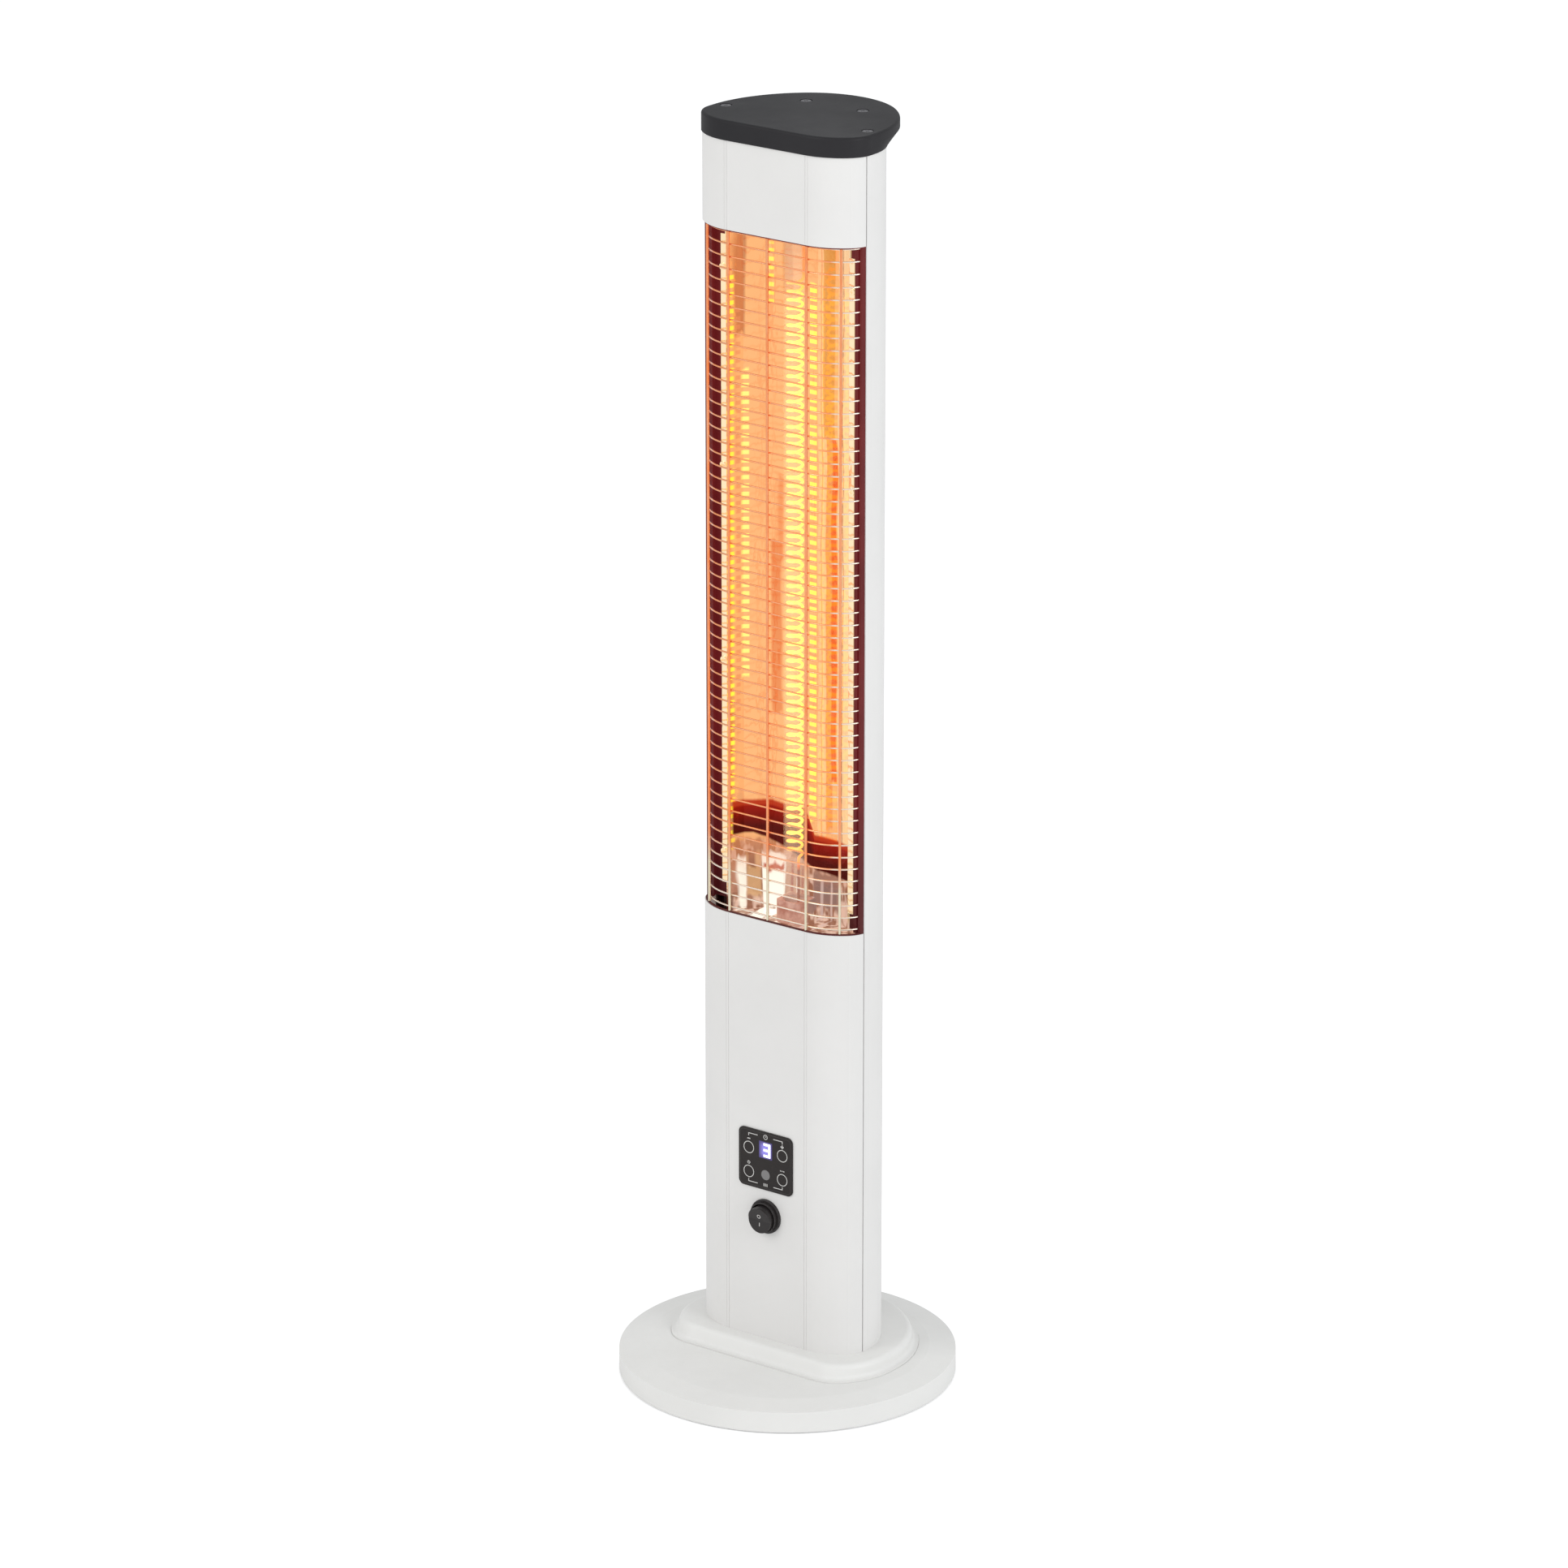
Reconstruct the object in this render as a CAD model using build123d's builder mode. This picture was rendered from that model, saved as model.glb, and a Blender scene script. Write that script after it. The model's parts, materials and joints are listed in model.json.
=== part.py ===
from build123d import *

import os
from collections import namedtuple
from math import atan2, cos, degrees, pi, radians, sin, sqrt, tan

os.makedirs("parts", exist_ok=True)

# Infrared patio heater tower. Millimetres, +Z up, the origin on the floor under the
# column's reference axis, the lamp window facing -Y.

# ------------------------------------------------------------------ driving dimensions
# heights, from the floor up
pad_height = 1.5               # rubber feet stand this proud of the base
base_height = 22.5             # floor to the flat seat of the collar
collar_height = 12.4
lower_cover_height = 367.1
window_height = 574.5
upper_cover_height = 72.9
cap_height = 16.2

# round base
base_radius = 140.0
base_wall = 2.5
base_seat_radius = 118.0       # flat part of the top
rim_drop = 3.3                 # fall of the top from the seat to the rim
rim_round = 5.5
rim_round_inside = 3.0
bottom_plate_thickness = 2.0
bottom_plate_gap = 0.3
pad_radius = 10.0
pad_circle_radius = 110.0
pad_count = 6
base_boss_radius = 4.0
base_screw_rim_margin = 11.0   # screw centres, in from the rim
base_screw_count = 6
base_screw_length = 10.5
weight_radius = 116.0
weight_thickness = 14.0
weight_chamfer = 1.0

# sections: half width of the flat front, front, widest point, flank arc, back arc, back
Outline = namedtuple("Outline", "flat_half front_y side_x side_y flank_r back_r back_y")
corner_sweep = 44.0            # degrees turned by the wide arc of each front corner
tower_form = Outline(38.8, -28.8, 80.25, 1.06, 55.0, 84.0, 73.9)
collar_top_form = Outline(67.0, -42.0, 100.3, 2.0, 92.0, 101.0, 105.0)
collar_foot_form = Outline(67.0, -52.3, 106.0, 0.0, 100.0, 106.5, 111.0)
cap_form = Outline(38.8, -29.9, 80.9, 1.06, 100.0, 71.0, 99.8)
cap_neck_form = Outline(38.8, -29.9, 80.9, 1.06, 55.65, 85.0, 74.9)

# collar and end plates
collar_wall = 2.5
collar_round = 5.0
collar_lip_width = 5.0         # flat lip round the foot
collar_lip_height = 1.2
collar_flare = 3.5             # hollow rounding between the wall and the lip
collar_groove = 0.4            # width and depth of the groove in the base round the lip
collar_pillar_radius = 6.5
end_plate_thickness = 2.5
end_plate_gap = 0.3

# extruded column
skin = 2.2                     # wall of the extrusions
seam_y = -3.0                  # middle of the joint between front covers and rear shell
seam_gap = 1.0
screw_ports = [(70.0, 11.2), (28.1, 61.5)]   # right-hand pair, mirrored to the left
port_bore_radius = 2.5
port_wall = 2.0
port_slit = 2.0
slot_rib = 1.6                 # ribs each side of the chassis slot
slot_y = 30.0
slot_rib_reach = 15.0          # inwards from the widest point of the column
hook_gap = 0.15                # between the covers' flanges and the rear shell
hook_thickness = 1.6
hook_front_y = -9.0
hook_back_y = 7.0
catch_front_y = 3.5
crease_width = 0.4
crease_depth = 0.25
crease_pitch = 2.4             # distance between the two fine lines of each crease

# cap
cap_lip_height = 8.1           # height of the grip's rim at the back
cap_wall = 3.0
cap_round = 2.2
cap_pillar_radius = 7.0

# window
trim_thickness = 1.0
trim_inset = 0.8
trim_depth = 2.6
trim_side_y = -6.5
rail_top_y = -6.0
rail_outer_inset = 0.8
rail_inner_inset = 7.2
rail_floor_y = 0.3
rail_floor_thickness = 1.6
rail_floor_inner_x = 63.0
rail_lip_bite = 0.5            # overlap of the rail's outer lip with its wall
rail_groove_gap = 0.2
rail_groove_floor_y = -2.0

# wire guard
wire_radius = 0.7
wire_pitch = 10.335
first_wire_above_edge = 4.1
last_wire_margin = 1.8         # least height left above the last wire
wire_end_angle = -10.5         # degrees on the tight corner arc
upright_radius = 1.1
upright_angle = -54.9          # degrees on the wide corner arc, of the outer pair
upright_end_gap = 0.3

# reflector: reflecting faces from the flange to the middle, right half
reflector_profile = [(66.5, -0.5), (61.3, -0.5), (60.0, 4.8), (56.0, 15.0),
                     (42.0, 26.5), (26.8, 31.1), (12.5, 32.5)]
reflector_fold = 3             # corner of the profile by which the side strips end
reflector_return = 1.8         # the strips turn in this far past that corner
reflector_lap = 5.0            # and then lie this far behind the back sheet
reflector_sheet = 0.8
chamber_overlap = 12.0         # the lamp chamber runs this far behind each cover
chamber_plate_thickness = 1.5
chamber_plate_half_width = 64.5
chamber_plate_back_y = 38.0
flange_trim = 25.0             # the flanges stop short of the chamber's ends
reflector_screw_count = 4      # along each flange
reflector_screw_x = 64.6
reflector_screw_margin = 40.0

# lamp
lamp_y = 10.0
coil_strand_radius = 1.1
coil_radius = 6.0
coil_pitch_aim = 7.0           # rounded to whole turns
coil_bottom_above_edge = 48.0
coil_top_below_edge = 42.5
coil_lead_bend = 3.0
tube_radius = 9.5
tube_wall = 1.3
tube_bottom_above_edge = 1.5
tube_top_below_edge = 2.5
lamp_cap_side_wall = 2.5
lamp_cap_face_wall = 1.2
lamp_cap_height = 20.0
lamp_cap_round = 3.0
lamp_cap_chamfer = 1.0
lamp_socket_depth = 8.0
lamp_socket_gap = 0.2
bracket_sheet = 1.2
bracket_ear_depth = 9.0
bracket_foot_depth = 12.0
cutout_radius = 7.5
cutout_height = 6.0
cutout_below_edge = 40.0
cutout_tabs = (22.5, 3.0)

# control panel
panel_width = 55.0
panel_height = 51.2
panel_round = 5.0
panel_centre_below_edge = 208.7
bezel_plate = 0.8
overlay_thickness = 0.4
bezel_body_width = 48.6
bezel_body_height = 44.8
bezel_body_depth = 11.4
bezel_body_wall = 1.6
panel_cutout_gap = 0.2
key_radius = 4.25
key_gap = 0.15
key_proud = 0.2
key_edge_round = 0.3
key_flange_radius = 5.25
key_flange_thickness = 1.0
key_stem_radius = 3.0
key_stem_length = 3.2
key_travel = 0.5
key_x = 17.2
upper_key_z = 8.6
lower_key_z = -12.6
display_width = 13.3
display_height = 14.7
display_z = 9.5
window_fit = 0.1
receiver_radius = 4.35
receiver_z = -12.3
receiver_diode_size = (6.5, 5.2)
control_board_depth = 7.8      # from the front face of the column to the board
control_board_thickness = 1.6
control_board_width = 44.6
control_board_height = 40.8
tact_size = 6.0
tact_height = 2.2
tact_cap_radius = 1.75
display_module_gap = 0.5
bezel_boss_radius = 2.5
bezel_bosses = [(20.0, 18.0), (-20.0, 18.0), (8.0, -18.0), (-8.0, -18.0)]

# rocker switch
switch_below_edge = 257.5
switch_flange_radius = 14.85
switch_flange_thickness = 2.5
switch_ring_radius = 12.9
switch_ring_height = 6.0
switch_bore_radius = 11.8
switch_flange_round = 0.8
switch_ring_round = 0.3
switch_barrel_radius = 12.0
switch_barrel_length = 24.0
switch_hole_gap = 0.2
switch_recess_depth = 2.5      # floor of the recess, behind the front face
rocker_radius = 11.2
rocker_middle_height = 9.6     # front face of the column to the middle of the rocker
rocker_back = 2.5              # rocker's back, behind its pivot
rocker_half_angle = 7.0        # degrees each side of the middle
pivot_pin_radius = 1.2
pivot_pin_gap = 0.05
pivot_pin_reach = 1.2
pivot_bore_reach = 1.4
nut_width = 30.0
nut_thickness = 5.0
nut_thread_gap = 0.15
tab_width = 6.3
tab_thickness = 0.8
tab_length = 10.0
tab_pitch = 7.0

# power electronics
chassis_thickness = 1.5
chassis_slot_gap = 0.1
chassis_edge_gap = 0.8
chassis_top_below_edge = 30.0
spacer_height = 8.0
spacer_radius = 3.0
power_board_width = 100.0
power_board_height = 130.0
power_board_thickness = 1.6
power_board_below_edge = 125.0
board_hole_margin = 5.0
relay_size = (27.0, 20.0, 32.0)
relay_x = 22.0
relay_above_board_middle = 30.0
transformer_size = (34.0, 28.0, 34.0)
transformer_place = (-24.0, -28.0)
capacitor_size = (18.0, 15.0, 8.0)
capacitor_place = (24.0, -4.0)
tilt_switch_size = (10.0, 12.0, 14.0)
tilt_switch_place = (24.0, -36.0)
terminal_block_size = (36.0, 20.0, 18.0)
terminal_block_y = 48.0
terminal_radius = 3.0
component_round = 1.0
component_chamfer = 0.6
chassis_hole_radius = 6.0      # for the switch's wires

# cable gland
gland_height = 27.0            # axis above the top of the collar
gland_bore_radius = 4.0
gland_thread_radius = 8.0
gland_inner_y = 58.0
gland_hole_gap = 0.2
gland_flange_radius = 12.0
gland_flange_thickness = 4.0
gland_dome_length = 16.0
gland_dome_radius = 10.5
gland_mouth_radius = 7.0
gland_mouth_round = 1.5
gland_seat_gap = 0.05
gland_nut_width = 22.0
gland_nut_thickness = 5.0

# screws: shank radius, head radius, head height
Screw = namedtuple("Screw", "shank head height")
column_screw = Screw(2.4, 4.7, 3.0)
cap_screw = Screw(2.4, 4.6, 2.2)
small_screw = Screw(1.45, 2.8, 1.2)
fine_screw = Screw(1.2, 2.2, 1.5)
screw_hole_gap = 0.4
column_screw_reach = 25.0      # into the screw channels
cap_screw_reach = 20.0
cap_screw_recess_radius = 5.0
cap_screw_recess = 2.5
driver_slot = 0.8
screw_tip = 1.0                # through the last sheet it holds
driver_reach = 1.1             # length of the cross recess, in head radii

# leads
lead_radius = 1.5
lead_hole_gap = 1.0
lead_bend = 9.0
lead_back_y = 50.0

# ------------------------------------------------------------------- levels and planes
seat_z = base_height
collar_top_z = seat_z + collar_height
window_low_z = collar_top_z + lower_cover_height
window_high_z = window_low_z + window_height
tower_top_z = window_high_z + upper_cover_height
cap_top_z = tower_top_z + cap_height
foot_plate_top_z = collar_top_z + end_plate_thickness
head_plate_low_z = tower_top_z - end_plate_thickness
chamber_low_z = window_low_z - chamber_overlap
chamber_high_z = window_high_z + chamber_overlap
front_y = tower_form.front_y
cover_edge_y = seam_y - seam_gap / 2
shell_edge_y = seam_y + seam_gap / 2
panel_z = window_low_z - panel_centre_below_edge
switch_z = window_low_z - switch_below_edge
all_ports = [(side * x, y) for x, y in screw_ports for side in (1, -1)]
far_y = 2 * tower_form.back_y  # beyond the section on either side
far_x = 2 * tower_form.side_x


# --------------------------------------------------------------------------- functions
def corner_arcs(form):
    """Centres and radii of the wide and the tight arc of the right front corner."""
    turned = radians(corner_sweep - 90)
    across, along = cos(turned), sin(turned)
    dx = form.side_x - form.flat_half
    dy = form.side_y - form.front_y
    tight = ((1 + along) * dx / across - dy) / ((1 + along) * (1 - across) / across + along)
    wide = (dx - tight * (1 - across)) / across
    wide_centre = (form.flat_half, form.front_y + wide)
    tight_centre = (form.side_x - tight, form.side_y)
    return wide_centre, wide, tight_centre, tight


def flank_arcs(form):
    """Centres of the flank and back arcs, and the angle where they meet."""
    back_centre = (0, form.back_y - form.back_r)
    step = form.back_r - form.flank_r
    sideways = form.side_x - form.flank_r
    rise = sqrt(step**2 - sideways**2)
    side = 1 if step > 0 else -1
    flank_centre = (sideways, back_centre[1] + side * rise)
    return flank_centre, back_centre, degrees(atan2(rise, side * sideways))


def outline(form, inset=0.0):
    """Face of a section, drawn inset from its skin on the same arc centres."""
    wide_centre, wide, tight_centre, tight = corner_arcs(form)
    flank_centre, back_centre, meet = flank_arcs(form)
    with BuildSketch() as face:
        with BuildLine():
            Line((0, form.front_y + inset), (form.flat_half, form.front_y + inset))
            CenterArc(wide_centre, wide - inset, -90, corner_sweep)
            CenterArc(tight_centre, tight - inset, corner_sweep - 90, 90 - corner_sweep)
            Line((form.side_x - inset, form.side_y), (form.side_x - inset, flank_centre[1]))
            CenterArc(flank_centre, form.flank_r - inset, 0, meet)
            CenterArc(back_centre, form.back_r - inset, meet, 90 - meet)
            mirror(about=Plane.YZ)
        make_face()
    return face.sketch


def band(outer, inner, low_y, high_y):
    """Part of the column's wall between two insets and two values of y."""
    with BuildSketch() as strip:
        add(outline(tower_form, outer))
        add(outline(tower_form, inner), mode=Mode.SUBTRACT)
        with Locations((0, (low_y + high_y) / 2)):
            Rectangle(2 * far_x, high_y - low_y, mode=Mode.INTERSECT)
    return strip.sketch


def screw(kind, length):
    """Screw along +Z: shank from 0 up, head below 0 with a cross recess."""
    with BuildPart() as body:
        Cylinder(kind.shank, length, align=(Align.CENTER, Align.CENTER, Align.MIN))
        Cylinder(kind.head, kind.height, align=(Align.CENTER, Align.CENTER, Align.MAX))
        fillet(body.faces().sort_by(Axis.Z)[0].edges(), kind.height / 4)
        with BuildSketch(Plane.XY.offset(-kind.height)):
            Rectangle(driver_reach * kind.head, driver_slot)
            Rectangle(driver_slot, driver_reach * kind.head)
        extrude(amount=kind.height / 2, mode=Mode.SUBTRACT)
    return body.part


def lead(points):
    """Round insulated lead along straight runs joined by equal bends."""
    with BuildPart() as cable:
        with BuildLine() as route:
            FilletPolyline(*points, radius=lead_bend)
        with BuildSketch(Plane(origin=route.line @ 0, z_dir=route.line % 0)):
            Circle(lead_radius)
        sweep()
    return cable.part


def save(builder, name):
    """Label a finished piece and write its file."""
    builder.part.label = name
    export_step(builder.part, f"parts/{name}.step")


# -------------------------------------------------------------------------------- base
with BuildPart() as rubber_feet:
    with BuildSketch():
        with PolarLocations(pad_circle_radius, pad_count):
            Circle(pad_radius)
    extrude(amount=pad_height)
    fillet(rubber_feet.edges().group_by(Axis.Z)[0], pad_height / 3)
save(rubber_feet, "rubber_feet")

plate_radius = base_radius - base_wall - bottom_plate_gap
base_plate_top_z = pad_height + bottom_plate_thickness
half_step = 180 / base_screw_count
base_screw_circle_radius = base_radius - base_screw_rim_margin
with BuildPart() as base_bottom_plate:
    with BuildSketch(Plane.XY.offset(pad_height)):
        Circle(plate_radius)
        with PolarLocations(base_screw_circle_radius, base_screw_count, half_step):
            Circle(small_screw.shank + screw_hole_gap, mode=Mode.SUBTRACT)
    extrude(amount=bottom_plate_thickness)
save(base_bottom_plate, "base_bottom_plate")

with BuildPart() as base_screws:
    with PolarLocations(base_screw_circle_radius, base_screw_count, half_step):
        add(screw(small_screw, base_screw_length).moved(Location((0, 0, pad_height))))
save(base_screws, "base_screws")


def base_profile(radius, seat, rim_z, low_z, top_z, rounding):
    """Half section of the base: flat seat, slope to the rim, rounded edge, side wall."""
    with BuildSketch(Plane.XZ) as profile:
        with BuildLine():
            Polyline((0, low_z), (0, top_z), (seat, top_z), (radius, rim_z), (radius, low_z),
                     close=True)
        make_face()
        rim = profile.vertices().filter_by(lambda v: v.X > seat + 1 and v.Z > low_z + 1)
        fillet(rim, rounding)
    return profile.sketch


rim_z = base_height - rim_drop
inner_top_z = base_height - base_wall
roof_slope = rim_drop / (base_radius - base_seat_radius)
boss_top_z = (base_height - base_wall / 2
              - roof_slope * (base_screw_circle_radius - base_seat_radius))
with BuildPart() as base_shell:
    add(base_profile(base_radius, base_seat_radius, rim_z, pad_height, base_height, rim_round))
    revolve(axis=Axis.Z)
    add(base_profile(base_radius - base_wall, base_seat_radius, rim_z - base_wall, pad_height,
                     inner_top_z, rim_round_inside))
    revolve(axis=Axis.Z, mode=Mode.SUBTRACT)
    with BuildSketch(Plane.XY.offset(base_plate_top_z)):
        with PolarLocations(base_screw_circle_radius, base_screw_count, half_step):
            Circle(base_boss_radius)
    extrude(amount=boss_top_z - base_plate_top_z)
    with BuildSketch(Plane.XY.offset(base_plate_top_z)):
        with PolarLocations(base_screw_circle_radius, base_screw_count, half_step):
            Circle(small_screw.shank + hook_gap)
    extrude(amount=base_screw_length, mode=Mode.SUBTRACT)
    with BuildSketch(Plane.XY.offset(inner_top_z)):
        with Locations(*all_ports):
            Circle(column_screw.shank + screw_hole_gap)
    extrude(amount=base_wall, mode=Mode.SUBTRACT)
    with BuildSketch(Plane.XY.offset(seat_z - collar_groove)):
        add(outline(collar_foot_form, -collar_groove))
        add(outline(collar_foot_form), mode=Mode.SUBTRACT)
    extrude(amount=collar_groove, mode=Mode.SUBTRACT)
save(base_shell, "base_shell")

weight_low_z = inner_top_z - weight_thickness
column_head_recess = column_screw.height + 2.0
with BuildPart() as base_weight:
    with BuildSketch(Plane.XY.offset(weight_low_z)):
        Circle(weight_radius)
    extrude(amount=weight_thickness)
    chamfer(base_weight.edges(), weight_chamfer)
    with Locations(*[(x, y, weight_low_z) for x, y in all_ports]):
        Cylinder(column_screw.shank + screw_hole_gap, weight_thickness, mode=Mode.SUBTRACT,
                 align=(Align.CENTER, Align.CENTER, Align.MIN))
        Cylinder(column_screw.head + screw_hole_gap, column_head_recess, mode=Mode.SUBTRACT,
                 align=(Align.CENTER, Align.CENTER, Align.MIN))
save(base_weight, "base_weight")

column_head_z = weight_low_z + column_head_recess
with BuildPart() as column_screws:
    column_length = foot_plate_top_z + column_screw_reach - column_head_z
    with Locations(*[(x, y, column_head_z) for x, y in all_ports]):
        add(screw(column_screw, column_length))
save(column_screws, "column_screws")

# ------------------------------------------------------------------------------ collar
deck_low_z = collar_top_z - collar_wall
lip_top_z = seat_z + collar_lip_height
with BuildPart() as collar:
    with BuildSketch(Plane.XY.offset(lip_top_z)):
        add(outline(collar_foot_form, collar_lip_width))
    with BuildSketch(Plane.XY.offset(collar_top_z)):
        add(outline(collar_top_form))
    loft()
    fillet(collar.faces().sort_by(Axis.Z)[-1].edges(), collar_round)
    with BuildSketch(Plane.XY.offset(seat_z)):
        add(outline(collar_foot_form))
    extrude(amount=collar_lip_height)
    lip_face = collar.faces().filter_by(Axis.Z).sort_by(Axis.Z)[1]
    fillet(lip_face.inner_wires()[0].edges(), collar_flare)
    with BuildSketch(Plane.XY.offset(seat_z)):
        add(outline(collar_foot_form, collar_lip_width + collar_wall))
    with BuildSketch(Plane.XY.offset(deck_low_z)):
        add(outline(collar_top_form, collar_wall))
    loft(mode=Mode.SUBTRACT)
    with BuildSketch(Plane.XY.offset(seat_z)):
        with Locations(*all_ports):
            Circle(collar_pillar_radius)
    extrude(amount=collar_height - collar_wall / 2)
    with BuildSketch(Plane.XY.offset(seat_z)):
        with Locations(*all_ports):
            Circle(column_screw.shank + screw_hole_gap)
    extrude(amount=collar_height, mode=Mode.SUBTRACT)
save(collar, "collar")

# ---------------------------------------------------------------------- column housing
port_radius = port_bore_radius + port_wall
with BuildPart() as rear_shell:
    with BuildSketch(Plane.XY.offset(collar_top_z)):
        add(band(0, skin, shell_edge_y, far_y))
    extrude(amount=tower_top_z - collar_top_z)
    with BuildSketch(Plane.XY.offset(foot_plate_top_z)):
        with Locations(*all_ports):
            Circle(port_radius)
        for side in (1, -1):
            side_port, back_port = screw_ports
            with Locations((side * (side_port[0] + port_radius), side_port[1])):
                Rectangle(2 * port_radius, port_radius)
            with Locations((side * back_port[0], back_port[1] + port_radius)):
                Rectangle(port_radius, 2 * port_radius)
            for rib_y in (slot_y - chassis_thickness / 2 - chassis_slot_gap - slot_rib / 2,
                          slot_y + chassis_thickness / 2 + chassis_slot_gap + slot_rib / 2):
                with Locations((side * tower_form.side_x, rib_y)):
                    Rectangle(2 * slot_rib_reach, slot_rib)
        add(band(skin - hook_gap, skin + 2 * hook_gap + 2 * hook_thickness,
                 hook_back_y + hook_gap, hook_back_y + hook_gap + hook_thickness))
        add(band(skin + 2 * hook_gap + hook_thickness, skin + 2 * hook_gap + 2 * hook_thickness,
                 catch_front_y, hook_back_y + hook_gap + hook_thickness))
        add(outline(tower_form, skin - hook_gap), mode=Mode.INTERSECT)
        with Locations(*all_ports):
            Circle(port_bore_radius, mode=Mode.SUBTRACT)
        for side in (1, -1):
            with Locations((side * (side_port[0] - port_radius), side_port[1])):
                Rectangle(2 * port_radius, port_slit, mode=Mode.SUBTRACT)
            with Locations((side * back_port[0], back_port[1] - port_radius)):
                Rectangle(port_slit, 2 * port_radius, mode=Mode.SUBTRACT)
    extrude(amount=head_plate_low_z - foot_plate_top_z)
    with BuildSketch(Plane.XZ.offset(-gland_inner_y)):
        with Locations((0, collar_top_z + gland_height)):
            Circle(gland_thread_radius + gland_hole_gap)
    extrude(amount=gland_inner_y - far_y, mode=Mode.SUBTRACT)
save(rear_shell, "rear_shell")


def cover_hooks():
    """Flanges along both edges of a front cover that slide into the rear shell."""
    with BuildSketch() as hooks:
        add(band(skin - hook_gap, skin + hook_gap + hook_thickness, hook_front_y, cover_edge_y))
        add(band(skin + hook_gap, skin + hook_gap + hook_thickness,
                 cover_edge_y - hook_gap, hook_back_y))
    return hooks.sketch


def cover_skin():
    """Front wall of a cover, with the two fine lines of each crease."""
    with BuildSketch() as wall:
        add(band(0, skin, -far_y, cover_edge_y))
        for side in (1, -1):
            for line in (0, crease_pitch):
                with Locations((side * (tower_form.flat_half + line), front_y)):
                    Rectangle(crease_width, 2 * crease_depth, mode=Mode.SUBTRACT)
    return wall.sketch


with BuildPart() as lower_front_cover:
    with BuildSketch(Plane.XY.offset(collar_top_z)):
        add(cover_skin())
    extrude(amount=lower_cover_height)
    with BuildSketch(Plane.XY.offset(foot_plate_top_z)):
        add(cover_hooks())
    extrude(amount=window_low_z - foot_plate_top_z)
    with BuildSketch(Plane.XZ.offset(-front_y)):
        with Locations((0, panel_z)):
            Rectangle(bezel_body_width + 2 * panel_cutout_gap,
                      bezel_body_height + 2 * panel_cutout_gap)
        with Locations((0, switch_z)):
            Circle(switch_barrel_radius + switch_hole_gap)
    extrude(amount=-2 * skin, mode=Mode.SUBTRACT)
save(lower_front_cover, "lower_front_cover")

with BuildPart() as upper_front_cover:
    with BuildSketch(Plane.XY.offset(window_high_z)):
        add(cover_skin())
    extrude(amount=upper_cover_height)
    with BuildSketch(Plane.XY.offset(window_high_z)):
        add(cover_hooks())
    extrude(amount=head_plate_low_z - window_high_z)
save(upper_front_cover, "upper_front_cover")


def end_plate(low_z):
    """Plate that fits inside the column and takes the screws of one end."""
    with BuildPart() as plate:
        with BuildSketch(Plane.XY.offset(low_z)):
            add(outline(tower_form, skin + end_plate_gap))
            with Locations(*all_ports):
                Circle(column_screw.shank + screw_hole_gap, mode=Mode.SUBTRACT)
        extrude(amount=end_plate_thickness)
    return plate


foot_plate = end_plate(collar_top_z)
save(foot_plate, "foot_plate")
head_plate = end_plate(head_plate_low_z)
save(head_plate, "head_plate")


def window_trim(low_z):
    """Thin dark edge along the cut end of a front cover."""
    with BuildPart() as trim:
        with BuildSketch(Plane.XY.offset(low_z)):
            add(band(trim_inset, trim_depth, -far_y, trim_side_y))
        extrude(amount=trim_thickness)
    return trim


lower_window_trim = window_trim(window_low_z)
save(lower_window_trim, "lower_window_trim")
upper_window_trim = window_trim(window_high_z - trim_thickness)
save(upper_window_trim, "upper_window_trim")

# --------------------------------------------------------------------------------- cap
cap_lip_z = cap_top_z - cap_lip_height
with BuildPart() as top_cap:
    with BuildSketch(Plane.XY.offset(tower_top_z)):
        add(outline(cap_neck_form))
    with BuildSketch(Plane.XY.offset(cap_lip_z)):
        add(outline(cap_form))
    loft()
    with BuildSketch(Plane.XY.offset(cap_lip_z)):
        add(outline(cap_form))
    extrude(amount=cap_lip_height)
    fillet(top_cap.faces().sort_by(Axis.Z)[-1].edges(), cap_round)
    with BuildSketch(Plane.XY.offset(tower_top_z)):
        add(outline(tower_form, cap_wall))
        with Locations(*all_ports):
            Circle(cap_pillar_radius, mode=Mode.SUBTRACT)
    extrude(amount=cap_height - cap_wall, mode=Mode.SUBTRACT)
    with Locations(*[(x, y, tower_top_z) for x, y in all_ports]):
        Cylinder(cap_screw.shank + screw_hole_gap, cap_height, mode=Mode.SUBTRACT,
                 align=(Align.CENTER, Align.CENTER, Align.MIN))
    with Locations(*[(x, y, cap_top_z) for x, y in all_ports]):
        Cylinder(cap_screw_recess_radius, cap_screw_recess, mode=Mode.SUBTRACT,
                 align=(Align.CENTER, Align.CENTER, Align.MAX))
save(top_cap, "top_cap")

cap_screw_length = cap_height - cap_screw_recess + end_plate_thickness + cap_screw_reach
with BuildPart() as cap_screws:
    driven = screw(cap_screw, cap_screw_length).rotate(Axis.X, 180)
    with Locations(*[(x, y, cap_top_z - cap_screw_recess) for x, y in all_ports]):
        add(driven)
save(cap_screws, "cap_screws")

# ---------------------------------------------------------------------------- side rails
rail_groove_outer = skin + hook_gap + rail_lip_bite
wire_inset = rail_groove_outer + rail_groove_gap + wire_radius
rail_groove_inner = wire_inset + wire_radius + rail_groove_gap


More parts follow.
